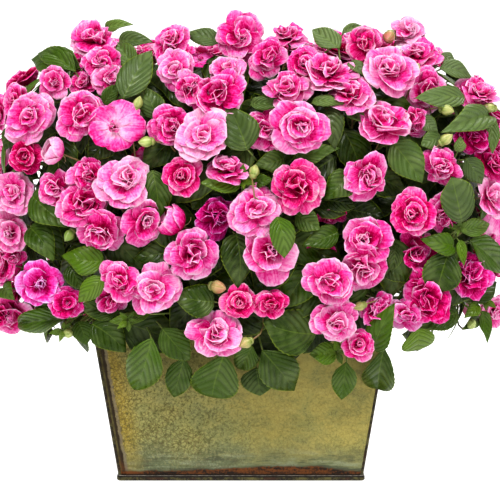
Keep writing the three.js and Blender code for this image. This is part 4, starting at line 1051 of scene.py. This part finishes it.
class Build:
    """A material's node tree, with short calls for the nodes that it is built from."""

    def __init__(self, name):
        self.material = bpy.data.materials.new(name)
        self.material.use_nodes = True
        self.tree = self.material.node_tree
        self.tree.nodes.clear()

    def node(self, kind, output, sockets, **settings):
        """One output of a new node, with these sockets linked to other nodes or set to plain values."""
        made = self.tree.nodes.new(kind)
        for key, value in settings.items():
            setattr(made, key, value)
        for socket, value in sockets.items():
            if isinstance(value, bpy.types.NodeSocket):
                self.tree.links.new(value, made.inputs[socket])
            else:
                made.inputs[socket].default_value = value
        return made.outputs[output]

    def coordinates(self, kind):
        """Where the surface is: its place in the object, or on its own map."""
        return self.node("ShaderNodeTexCoord", kind, {})

    def tint(self):
        return self.node("ShaderNodeAttribute", "Color", {}, attribute_name="tint")

    def mapped(self, vector, scale=(1, 1, 1), location=(0, 0, 0)):
        sockets = {"Vector": vector, "Scale": scale, "Location": location}
        return self.node("ShaderNodeMapping", "Vector", sockets)

    def noise(self, vector, scale, detail=4.0, roughness=0.55, distortion=0.0, output="Fac"):
        sockets = {"Vector": vector, "Scale": scale, "Detail": detail, "Roughness": roughness}
        return self.node("ShaderNodeTexNoise", output, {**sockets, "Distortion": distortion})

    def cracks(self, vector, scale):
        sockets = {"Vector": vector, "Scale": scale}
        return self.node("ShaderNodeTexVoronoi", "Distance", sockets, feature="DISTANCE_TO_EDGE")

    def parts(self, vector):
        return self.node("ShaderNodeSeparateXYZ", 0, {0: vector}).node.outputs

    def maths(self, operation, *values):
        return self.node("ShaderNodeMath", 0, dict(enumerate(values)), operation=operation)

    def plus(self, first, *others):
        for other in others:
            first = self.maths("ADD", first, other)
        return first

    def times(self, first, *others):
        for other in others:
            first = self.maths("MULTIPLY", first, other)
        return first

    def minus(self, a, b):
        return self.maths("SUBTRACT", a, b)

    def most(self, a, b):
        return self.maths("MAXIMUM", a, b)

    def from_middle(self, value):
        """How far a value is from a half, either way."""
        return self.maths("ABSOLUTE", self.minus(value, 0.5))

    def span(self, value, low, high, new_low=0.0, new_high=1.0):
        """A soft step from new_low to new_high, as the value goes from low to high."""
        sockets = dict(enumerate((value, low, high, new_low, new_high)))
        return self.node("ShaderNodeMapRange", 0, sockets, interpolation_type="SMOOTHSTEP")

    def mix(self, share, a, b, blend="MIX"):
        a, b = ((*c, 1.0) if isinstance(c, tuple) else c for c in (a, b))
        return self.node("ShaderNodeMix", 2, {0: share, 6: a, 7: b}, data_type="RGBA", blend_type=blend)

    def ramp(self, value, steps):
        colour = self.node("ShaderNodeValToRGB", "Color", {"Fac": value})
        stops = colour.node.color_ramp.elements
        for stop in steps[2:]:
            stops.new(stop[0])
        for stop, (at, shade) in zip(stops, steps):
            stop.position = at
            stop.color = (*shade, 1.0)
        return colour

    def bump(self, height, strength, distance):
        sockets = {"Height": height, "Strength": strength, "Distance": distance}
        return self.node("ShaderNodeBump", "Normal", sockets)

    def finish(self, colour, roughness, normal=None, through=0.0, glow=None, **sockets):
        """The finished material; through is the share of light that passes through it, tinted by glow."""
        sockets = {name.replace("_", " "): value for name, value in sockets.items()}
        sockets.update({"Base Color": colour, "Roughness": roughness})
        if normal is not None:
            sockets["Normal"] = normal
        surface = self.node("ShaderNodeBsdfPrincipled", 0, sockets)
        if through:
            lit = self.node("ShaderNodeBsdfTranslucent", 0, {"Color": colour if glow is None else glow})
            surface = self.node("ShaderNodeMixShader", 0, {0: through, 1: surface, 2: lit})
        out = self.tree.nodes.new("ShaderNodeOutputMaterial")
        self.tree.links.new(surface, out.inputs["Surface"])
        return self.material


def petal_material():
    """Petals: the tint says how deep their pink is, veins and blotches vary it, and rims carry a painted
    highlight.
    """
    m = Build("petal")
    uv = m.coordinates("UV")
    place = m.coordinates("Object")
    across_petal, up_petal, _ = m.parts(uv)
    veins = m.noise(m.mapped(uv, (17, 1.2, 1)), 1.0, 3.0, 0.6, 0.6)
    blotch = m.noise(place, 190.0, 4.0, 0.62, 0.3)
    fine = m.noise(place, 520.0, 2.0, 0.6)
    # Painted highlight: the tips and side rims of the petals are lighter, where they catch the light.
    tip = m.span(up_petal, 0.88, 0.985)
    side = m.span(m.from_middle(across_petal), 0.445, 0.497)
    rim = m.most(tip, m.times(side, m.span(up_petal, 0.3, 0.6)))
    rim_highlight = m.times(rim, m.span(blotch, 0.40, 0.60, 0.08, 0.30))
    shift = m.plus(m.times(veins, -0.8), m.times(blotch, -0.75))
    shift = m.plus(shift, m.times(fine, -0.4))
    depth, hue, _ = m.parts(m.tint())
    level = m.minus(m.plus(depth, m.plus(shift, 0.99)), rim_highlight)
    violet = m.mix(m.span(hue, 0.0, 1.0), m.ramp(level, PETAL_SCALE), (0.93, 1.0, 1.38), "MULTIPLY")
    colour = m.mix(m.span(hue, 0.0, -1.0), violet, (1.02, 1.0, 0.82), "MULTIPLY")
    normal = m.bump(m.plus(veins, m.times(blotch, 0.7)), 0.5, 0.0008)
    glow = m.mix(1.0, colour, (1.0, 0.40, 0.66), "MULTIPLY")
    return m.finish(colour, 0.62, normal, through=0.24, glow=glow, Specular_IOR_Level=0.02)


def bud_material():
    """Closed buds: waxy, with lengthwise streaks."""
    m = Build("bud")
    tint = m.tint()
    streaks = m.noise(m.mapped(m.coordinates("UV"), (11, 0.8, 1)), 1.0, 2.0, 0.5)
    pale = m.mix(m.span(streaks, 0.50, 0.62, 0.0, 0.4), tint, (0.62, 0.68, 0.34))
    green = m.mix(m.span(streaks, 0.52, 0.38, 0.0, 0.6), pale, (0.20, 0.30, 0.05))
    return m.finish(green, 0.4, m.bump(streaks, 0.3, 0.0004), through=0.15)


def calyx_material():
    m = Build("calyx_and_stalk")
    tint = m.tint()
    spots = m.noise(m.coordinates("Object"), 420.0, 2.0)
    colour = m.mix(m.span(spots, 0.4, 0.7, 0.0, 0.35), tint, (0.34, 0.14, 0.08))
    return m.finish(colour, 0.42, m.bump(spots, 0.25, 0.0004), through=0.12)


def leaf_material():
    """Leaves: quilted between their side veins, with a pale midrib and margin, and painted shade, highlight
    and sheen.
    """
    m = Build("leaf")
    uv = m.coordinates("UV")
    tint = m.tint()
    u, v, _ = m.parts(uv)
    off = m.from_middle(u)
    along = m.times(v, float(LEAF_VEINS))
    phase = m.from_middle(m.maths("FRACT", m.plus(along, 0.5)))
    vein = m.span(phase, 0.0, 0.30, 1.0, 0.0)
    ridge = m.span(phase, 0.28, 0.5, 0.0, 0.30)
    line = m.span(phase, 0.0, 0.06, 1.0, 0.0)
    midrib = m.span(off, 0.008, 0.028, 1.0, 0.0)
    margin = m.span(off, 0.472, 0.498, 0.0, 1.0)
    mottle = m.noise(m.coordinates("Object"), 260.0, 4.0, 0.6)
    broad = m.noise(m.coordinates("Object"), 42.0, 2.0)
    lit = m.mix(m.span(mottle, 0.35, 0.7, 0.0, 0.30), tint, (0.060, 0.104, 0.002))
    # Painted sheen: broad patches mixed towards a pale grey-green, as if they caught the light.
    sheen = m.mix(m.span(broad, 0.42, 0.66, 0.0, 0.42), lit, (0.150, 0.200, 0.065))
    quilting = m.span(broad, 0.36, 0.62, 0.35, 1.0)
    # Painted highlight on the ridges between the veins, then painted shade in the vein grooves.
    ridge_highlight = m.mix(m.times(ridge, 0.60, quilting), sheen, (0.14, 0.20, 0.05))
    groove_shade = m.mix(m.times(vein, 0.36, quilting), ridge_highlight, (0.008, 0.020, 0.001))
    lined = m.mix(m.times(line, 0.14), groove_shade, (0.14, 0.22, 0.02))
    ribbed = m.mix(m.times(midrib, 0.32), lined, (0.17, 0.25, 0.03))
    colour = m.mix(m.times(margin, 0.55), ribbed, (0.22, 0.30, 0.02))
    height = m.minus(m.times(mottle, 0.4), vein)
    normal = m.bump(height, 0.5, 0.0009)
    rough = m.span(mottle, 0.3, 0.7, 0.25, 0.38)
    return m.finish(colour, rough, normal, through=0.04, Specular_IOR_Level=0.19)


def stem_material():
    m = Build("fleshy_stem")
    tint = m.tint()
    spots = m.noise(m.mapped(m.coordinates("Object"), (1, 1, 0.25)), 300.0, 3.0)
    colour = m.mix(m.span(spots, 0.4, 0.75, 0.0, 0.5), tint, (0.30, 0.13, 0.07))
    return m.finish(colour, 0.35, m.bump(spots, 0.3, 0.0005), through=0.08)


def soil_material():
    m = Build("potting_mix")
    place = m.coordinates("Object")
    coarse = m.noise(place, 180.0, 6.0, 0.7)
    fine = m.noise(place, 900.0, 4.0, 0.7)
    colour = m.mix(m.span(coarse, 0.35, 0.7), (0.012, 0.008, 0.006), (0.075, 0.047, 0.03))
    flecks = m.mix(m.span(fine, 0.66, 0.74), colour, (0.22, 0.17, 0.12))
    return m.finish(flecks, 0.92, m.bump(m.plus(coarse, fine), 1.0, 0.004))


def patina_material():
    """Sheet metal with an olive and gold patina, bluish green towards the foot, and rust above the bead.

    The walls' map runs in decimetres: across from the left fold, and up from the floor."""
    m = Build("patina")
    place = m.coordinates("Object")
    across_wall, up_wall, _ = m.parts(m.coordinates("UV"))
    clouds = m.noise(place, 13.0, 3.0, 0.55, 0.5)
    patches = m.noise(m.mapped(place, (1, 1, 1.4), (0.3, 0.1, 0.7)), 38.0, 6.0, 0.68, 0.3)
    crackle = m.noise(place, 400.0, 4.0, 0.75)
    net = m.noise(m.mapped(place, (1, 1, 1), (0.9, 0.2, 0.4)), 190.0, 6.0, 0.8, 0.6)
    grain = m.noise(place, 620.0, 3.0, 0.75)
    brush = m.noise(m.mapped(place, (0.35, 0.35, 2.0)), 80.0, 5.0, 0.7)
    rightwards = m.span(across_wall, 0.5, 1.7)
    upwards = m.span(up_wall, 0.15, 1.25)

    # The face: olive at the left and gold at the right, cooler at its foot, and streaked sideways.
    olive = m.mix(m.span(patches, 0.36, 0.64), (0.220, 0.230, 0.090), (0.300, 0.288, 0.098))
    golden = m.mix(m.span(patches, 0.36, 0.64), (0.280, 0.262, 0.082), (0.400, 0.336, 0.098))
    warmth = m.plus(m.times(rightwards, 0.35), m.times(upwards, 0.45))
    warm = m.span(m.plus(warmth, m.times(clouds, 0.9)), 0.55, 1.05)
    face = m.mix(warm, olive, golden)
    foot = m.span(m.plus(up_wall, m.times(clouds, 0.40)), 0.30, 0.72, 0.95, 0.0)
    cool = m.mix(foot, face, (0.118, 0.143, 0.080))
    streaked = m.mix(m.span(brush, 0.52, 0.70, 0.0, 0.25), cool, (0.44, 0.38, 0.14))
    stained = m.mix(m.span(brush, 0.46, 0.30, 0.0, 0.25), streaked, (0.14, 0.13, 0.045))

    # Pale and dark smears over the smooth foot.
    smear = m.noise(m.mapped(place, (0.28, 0.28, 2.0), (0.4, 0.8, 0.1)), 95.0, 5.0, 0.7)
    smooth_foot = m.span(m.plus(up_wall, m.times(clouds, 0.2)), 0.52, 0.24)
    pale_smear = m.mix(m.times(smooth_foot, m.span(smear, 0.50, 0.60, 0.0, 0.6)), stained, (0.26, 0.29, 0.19))
    dark_smear = m.times(smooth_foot, m.span(smear, 0.49, 0.40, 0.0, 0.75))
    smudged = m.mix(dark_smear, pale_smear, (0.060, 0.066, 0.042))

    # A golden band by the fold, and a fine dark and bright net that thins out to the right.
    fold_gold = m.span(m.plus(across_wall, m.times(net, -0.16)), 0.24, 0.05, 0.0, 1.0)
    less_gold = m.times(fold_gold, m.span(up_wall, 0.10, 0.5, 0.35, 0.85))
    banded = m.mix(less_gold, smudged, (0.33, 0.235, 0.032))
    crackled = m.span(m.minus(1.0, rightwards), 0.0, 0.9, 0.35, 1.0)
    crackled = m.times(crackled, m.minus(1.0, m.times(smooth_foot, 0.55)))
    fine_net = m.plus(m.times(crackle, 0.6), m.times(net, 0.4))
    dark_spots = m.span(fine_net, 0.495, 0.430)
    veined = m.mix(m.times(dark_spots, m.times(crackled, 0.75)), banded, (0.085, 0.078, 0.022))
    bright = m.span(fine_net, 0.515, 0.58)
    flecked = m.mix(m.times(bright, m.times(crackled, 0.45)), veined, (0.46, 0.41, 0.16))

    # Crazing, its lines bent by a noise, and small pits.
    bent = {0: m.noise(place, 140.0, 2.0, 0.5, output="Color"), 1: (0.006, 0.006, 0.006), 2: place}
    wavy = m.node("ShaderNodeVectorMath", 0, bent, operation="MULTIPLY_ADD")
    crack = m.span(m.cracks(wavy, 250.0), 0.14, 0.03)
    where = m.span(m.plus(clouds, m.times(patches, 0.5)), 0.66, 0.86)
    cracked = m.times(m.times(crack, where), m.times(crackled, 0.5))
    crazed = m.mix(cracked, flecked, (0.085, 0.055, 0.018))
    low_pits = m.span(up_wall, 0.55, 0.15, 0.0, 0.07)
    pits = m.span(m.plus(grain, low_pits, m.times(patches, -0.8)), 0.20, 0.30)
    pitted = m.mix(m.times(pits, 0.5), crazed, (0.10, 0.090, 0.045))

    # The pressed fold: a grey strip, a dark channel and its rubbed ridge.
    worn = m.plus(across_wall, m.times(m.minus(brush, 0.5), 0.05))
    grey_strip = m.times(m.span(worn, 0.056, 0.064), m.span(worn, 0.106, 0.084))
    greyed = m.mix(m.times(grey_strip, 0.6), pitted, (0.15, 0.125, 0.11))
    channel = m.times(m.span(across_wall, 0.016, 0.024), m.span(worn, 0.070, 0.058))
    grooved = m.mix(m.times(channel, 0.95), greyed, (0.028, 0.017, 0.010))
    ridge = m.times(m.span(across_wall, 0.020, 0.026), m.span(across_wall, 0.040, 0.034))
    rubbed = m.mix(m.times(ridge, m.span(brush, 0.35, 0.6, 0.35, 0.85)), grooved, (0.17, 0.145, 0.055))

    # Rust that creeps up from the bead, furthest to the right of the middle, and up the fold.
    run = m.noise(m.mapped(place, (1, 1, 0.3)), 30.0, 4.0, 0.6)
    heart = m.times(m.span(across_wall, 0.1, 1.4), m.span(across_wall, 2.25, 1.9, 0.25, 1.0))
    reach = m.plus(m.times(run, 0.075), m.times(heart, 0.045))
    ragged = m.plus(reach, m.times(crackle, 0.03))
    rust = m.span(m.minus(up_wall, m.plus(ragged, 0.032)), 0.014, -0.008)
    streaks = m.noise(m.mapped(place, (0.5, 0.5, 2.4)), 130.0, 5.0, 0.75)
    mixed = m.plus(m.times(streaks, 0.5), m.times(crackle, 0.5))
    by_fold = m.span(across_wall, 0.38, 0.12, 0.0, 0.13)
    browns = m.span(m.plus(mixed, by_fold, m.times(heart, 0.06)), 0.46, 0.62)
    rust_tone = m.mix(browns, (0.014, 0.009, 0.006), (0.135, 0.045, 0.010))
    edge_stain = m.span(m.minus(up_wall, m.plus(ragged, 0.045)), 0.02, -0.01, 0.0, 0.5)
    stained_foot = m.mix(edge_stain, rubbed, (0.050, 0.050, 0.034))
    corner = m.span(m.plus(m.times(worn, 1.5), up_wall), 0.34, 0.14, 0.0, 0.75)
    rusted = m.mix(m.most(rust, m.times(corner, browns)), stained_foot, rust_tone)
    # Darker in a thin band at the foot of the wall, just above the bead.
    colour = m.mix(m.span(up_wall, 0.072, 0.060, 0.0, 0.85), rusted, (0.016, 0.012, 0.008))
    rough = m.span(patches, 0.3, 0.7, 0.42, 0.62)
    height = m.plus(m.times(fine_net, 0.9), m.times(grain, 0.4))
    return m.finish(colour, rough, m.bump(height, 0.5, 0.0008), Metallic=0.12, Specular_IOR_Level=0.2)


def edge_material():
    """The rolled edges: olive metal rubbed dark brown, with rust, and a painted shade band under a painted
    highlight line low down.
    """
    m = Build("rolled_edge")
    place = m.coordinates("Object")
    mottle = m.noise(place, 260.0, 5.0, 0.75)
    broad = m.noise(place, 45.0, 3.0, 0.6)
    tone = m.plus(m.times(mottle, 0.6), m.times(broad, 0.4))
    base = m.mix(m.span(tone, 0.44, 0.62), (0.014, 0.010, 0.006), (0.105, 0.092, 0.030))
    rust = m.mix(m.span(broad, 0.46, 0.34, 0.0, 0.5), base, (0.07, 0.026, 0.010))
    height = m.parts(place)[2]
    # Painted shade in a band at the bead's height, below its highlight line.
    shade = m.times(m.span(height, 0.0032, 0.0038), m.span(height, 0.0060, 0.0050))
    under = m.mix(shade, rust, (0.012, 0.009, 0.006))
    # Painted highlight: a thin light line along the top of the bead.
    ridge = m.times(m.span(height, 0.0045, 0.0049), m.span(height, 0.0058, 0.0052))
    colour = m.mix(m.times(ridge, m.span(mottle, 0.4, 0.55, 0.2, 0.65)), under, (0.50, 0.46, 0.40))
    return m.finish(colour, 0.5, m.bump(mottle, 0.5, 0.0008), Metallic=0.2, Specular_IOR_Level=0.3)


# ---------------------------------------- the plant

PETAL_MAT, CALYX_MAT, BUD_MAT = petal_material(), calyx_material(), bud_material()
LEAF_MAT, STEM_MAT = leaf_material(), stem_material()

blooms = front_blooms()
blooms += back_blooms(blooms)
for number, row in enumerate(blooms):
    row["carrier"] = carrier_of(row["at"], row["out"])
    if row["form"] == "bud":
        row["out"] = bud_way(row, number)
drawn_leaves = front_leaves()
leaves = drawn_leaves + back_leaves(blooms, drawn_leaves) + inner_leaves()

BLOOMS = {form: [bloom_template(form, k) for k in range(count)] for form, count in VARIANTS.items()}
BLOOMS["bud"] = [bud_template()]
LEAVES = {}
for kind, (count, first, *details) in LEAF_KINDS.items():
    LEAVES[kind] = [leaf_template(first + k, *details) for k in range(count)]
# How far behind a bloom's or a bud's middle its stalk ends, as a share of its width, and how far a
# leaf's stalk runs on under the leaf.
STALK_BEHIND = {"bloom": 0.13, "bud": 0.6}
UNDER_LEAF = 2
# The knob that a spray's stalks spring from: how far along the stem each guide point is, and its radius.
KNOB = [(-4, 2.2), (-2, 3.4), (2, 3.2), (4, 1.4)]
# Where a shoot's leaves leave its stem, in shares of its length: the first near the tip, and each
# next one a step further down.
LEAF_PLACES = {"first": 0.97, "step": 0.022, "lowest": 0.35}

sprays = [[] for _ in HUBS]
for number, row in enumerate(blooms):
    index = row["carrier"]
    hub, tip_way = HUBS[index]
    sprays[index].append(bloom_copy(row, number))
    behind = STALK_BEHIND["bud" if row["form"] == "bud" else "bloom"]
    calyx = row["at"] - row["out"] * behind * row["width"]
    span = np.linalg.norm(calyx - hub)
    guide = (hub, hub + (tip_way * 0.3 - row["out"] * 0.2) * span, calyx - row["out"] * 0.45 * span, calyx)
    sprays[index].append(stalk_shape(guide, *BLOOM_STALK, STALK_GREEN, STALK_RED))
for index, parts in enumerate(sprays):
    hub, tip_way = HUBS[index]
    knob = tube_shape([hub + tip_way * reach for reach, _ in KNOB], [r for _, r in KNOB], 7, (CALYX, 0, 0))
    parts.append(coloured(knob, STALK_GREEN, STALK_SLOT))
    node = f"bloom_spray_{index + 1:02d}"
    piece = to_mesh(f"blooms_{index + 1:02d}", merged(parts), [PETAL_MAT, CALYX_MAT, BUD_MAT])
    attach(piece, "root")
    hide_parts(node)

shoots = [[] for _ in HUBS]
for number, row in enumerate(leaves):
    index = carrier_of(row["base"], unit(row["tip"] - row["base"]))
    shoots[index].append(leaf_copy(row, number))
    place = LEAF_PLACES["first"] - LEAF_PLACES["step"] * (len(shoots[index]) // 2)
    start = bezier(PATHS[index], max(LEAF_PLACES["lowest"], place))
    span = np.linalg.norm(row["base"] - start)
    way = unit(row["tip"] - row["base"])
    tip_way = HUBS[index][1]
    inward = unit(row["face"]) * -0.3 - way * 0.12
    outward = tip_way * 0.2 + unit(row["base"] - start) * 0.2
    guide = (start, start + outward * span, row["base"] + inward * span, row["base"] + way * UNDER_LEAF)
    shoots[index].append(stalk_shape(guide, *LEAF_STALK, STALK_GREEN * 0.8, STALK_GREEN))
for index, parts in enumerate(shoots):
    parts.append(stalk_shape(PATHS[index], *MAIN_STEM, STALK_GREEN * 0.7, STALK_GREEN))
    node = f"leafy_shoot_{index + 1:02d}"
    piece = to_mesh(f"shoot_{index + 1:02d}", merged(parts), [LEAF_MAT, STEM_MAT])
    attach(piece, "root")
    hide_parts(node)

# ---------------------------------------- the planter

PATINA, EDGE, SOIL = patina_material(), edge_material(), soil_material()
# The walls reach from the bead to the rolled rim.
WALL_LOW, WALL_HIGH = PLANTER["bead"] + GAP, PLANTER["height"] - PLANTER["roll"] - GAP
SHEET, WALL_ROWS, FACE_COLUMNS = 1.2, 14, 26
# The pressed profile beside each wall's left fold: distance from the fold, and how far it stands out.
FOLD_PROFILE = [
    (0, 0), (1.6, 0), (2.6, -0.5), (3.8, -1.5), (5.4, -1.5), (6.6, -0.3), (7.6, 0.35), (9.0, 0.35), (10.2, 0),
]
# How far from its folds a wall's dents fade in, and how many mm a unit of its map covers.
DENTS_FADE, MAP_UNIT = 14, 100


def wall(side, half_long, half_deep, turn):
    """One sheet wall: pressed with a channel beside its left fold, and a little uneven over its face."""
    pressed = len(FOLD_PROFILE)
    columns = pressed + FACE_COLUMNS
    piece, flat = flat_grid(columns, WALL_ROWS)
    mesh = piece.data
    column = np.round((flat[:, 0] + 0.5) * columns).astype(int)
    row = flat[:, 1] + 0.5
    z = WALL_LOW + (WALL_HIGH - WALL_LOW) * row
    half = half_long + PLANTER["flare"] * z - GAP
    near, proud = np.array(FOLD_PROFILE).T
    in_profile = np.minimum(column, pressed - 1)
    share = np.clip((column - pressed + 1) / (columns - pressed + 1), 0, 1)
    over_face = near[-1] + (2 * half - near[-1]) * share
    from_fold = np.where(column < pressed, near[in_profile], over_face)
    s = from_fold - half
    dents = 0.35 * np.sin(s / 31 + turn) * np.sin(z / 27 + 1)
    dents = dents + 0.2 * np.sin(s / 13 + 2) * np.sin(z / 17 + turn)
    fade = np.clip(np.minimum(from_fold, 2 * half - from_fold) / DENTS_FADE, 0, 1)
    fade = fade * np.sin(math.pi * row) ** 0.5
    out = np.where(column < pressed, proud[in_profile], dents * fade)
    y = -(half_deep + PLANTER["flare"] * z + out)
    c, d = math.cos(turn), math.sin(turn)
    points = np.stack([s * c - y * d, s * d + y * c, z], axis=1) * MM
    mesh.vertices.foreach_set("co", points.ravel())
    corners = read(mesh.loops, "vertex_index", 1)[:, 0].astype(int)
    unrolled = np.stack([from_fold / MAP_UNIT, z / MAP_UNIT], axis=1)[corners]
    mesh.uv_layers[0].data.foreach_set("uv", unrolled.ravel())
    mesh.update()
    thicken(piece, SHEET * MM, -1)
    bpy.ops.object.shade_smooth_by_angle(angle=rad(40))
    piece.name = side + "_wall"
    node = side + "_panel"
    mesh.materials.append(PATINA)
    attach(piece, "root")
    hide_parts(node)


HALF_WIDE, HALF_DEEP = PLANTER["width"] / 2, PLANTER["depth"] / 2
wall("front", HALF_WIDE, HALF_DEEP, 0)
wall("right", HALF_DEEP, HALF_WIDE, math.pi / 2)
wall("back", HALF_WIDE, HALF_DEEP, math.pi)
wall("left", HALF_DEEP, HALF_WIDE, -math.pi / 2)


def refinish(node, material):
    """Gives a node of the frame, whose shape stays, its material."""
    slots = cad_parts[node].data.materials
    slots.clear()
    slots.append(material)


for node in ("base_panel", "base_bead", "rim_roll"):
    refinish(node, EDGE)
for place in ("front_left", "front_right", "back_left", "back_right"):
    refinish("corner_seam_" + place, EDGE)
refinish("potting_mix", SOIL)

# ---------------------------------------- the studio

# Each lamp: its azimuth and elevation in degrees, its strength, and how wide it spreads in degrees.
LAMPS = {
    "key": (-30, 42, 2.25, 16),
    "right": (42, 40, 1.6, 16),
    "front": (5, 12, 0.35, 50),
    "above": (10, 80, 0.9, 50),
    "behind": (165, 48, 1.4, 40),
}
# The width of the camera's sensor, in mm.
SENSOR = 36
WHITE = (1, 1, 1, 1)


def pale_floor():
    bpy.ops.mesh.primitive_plane_add(size=30, location=(0, 0, 0))
    floor = bpy.context.object
    floor.name = "floor"
    m = Build("pale_floor")
    finish = m.finish((0.35, 0.35, 0.35, 1), 0.8, Emission_Color=WHITE, Emission_Strength=0.86)
    floor.data.materials.append(finish)


def soft_world():
    """Soft light all round, behind which the view is plain white."""
    world = bpy.data.worlds.new("studio")
    bpy.context.scene.world = world
    world.use_nodes = True
    tree = world.node_tree
    tree.nodes.clear()
    both = tree.nodes.new("ShaderNodeMixShader")
    for socket, strength in ((1, 0.22), (2, 1.2)):
        light = tree.nodes.new("ShaderNodeBackground")
        light.inputs["Color"].default_value = WHITE
        light.inputs["Strength"].default_value = strength
        tree.links.new(light.outputs[0], both.inputs[socket])
    seen = tree.nodes.new("ShaderNodeLightPath")
    tree.links.new(seen.outputs["Is Camera Ray"], both.inputs[0])
    out = tree.nodes.new("ShaderNodeOutputWorld")
    tree.links.new(both.outputs[0], out.inputs["Surface"])


def lamp(name, azimuth, elevation, strength, spread):
    light = bpy.data.lights.new(name, "SUN")
    light.energy = strength
    light.angle = rad(spread)
    holder = bpy.data.objects.new(name, light)
    bpy.context.scene.collection.objects.link(holder)
    a, e = rad(azimuth), rad(elevation)
    towards = Vector((math.sin(a) * math.cos(e), -math.cos(a) * math.cos(e), math.sin(e)))
    holder.rotation_euler = towards.to_track_quat("Z", "Y").to_euler()


pale_floor()
soft_world()
for name, settings in LAMPS.items():
    lamp(name, *settings)

# The camera looks as the front drawing does.
lens = bpy.data.cameras.new("camera")
lens.lens = SENSOR * DRAWING["eye"] / DRAWING["across"]
lens.clip_end = 50
camera = bpy.data.objects.new("camera", lens)
bpy.context.scene.collection.objects.link(camera)
camera.location = Vector(EYE * MM)
camera.rotation_euler = Vector(TO_EYE).to_track_quat("Z", "Y").to_euler()
bpy.context.scene.camera = camera
bpy.context.scene.view_settings.view_transform = "Standard"
bpy.context.scene.view_settings.exposure = 0.12
bpy.context.scene.view_settings.gamma = 0.86
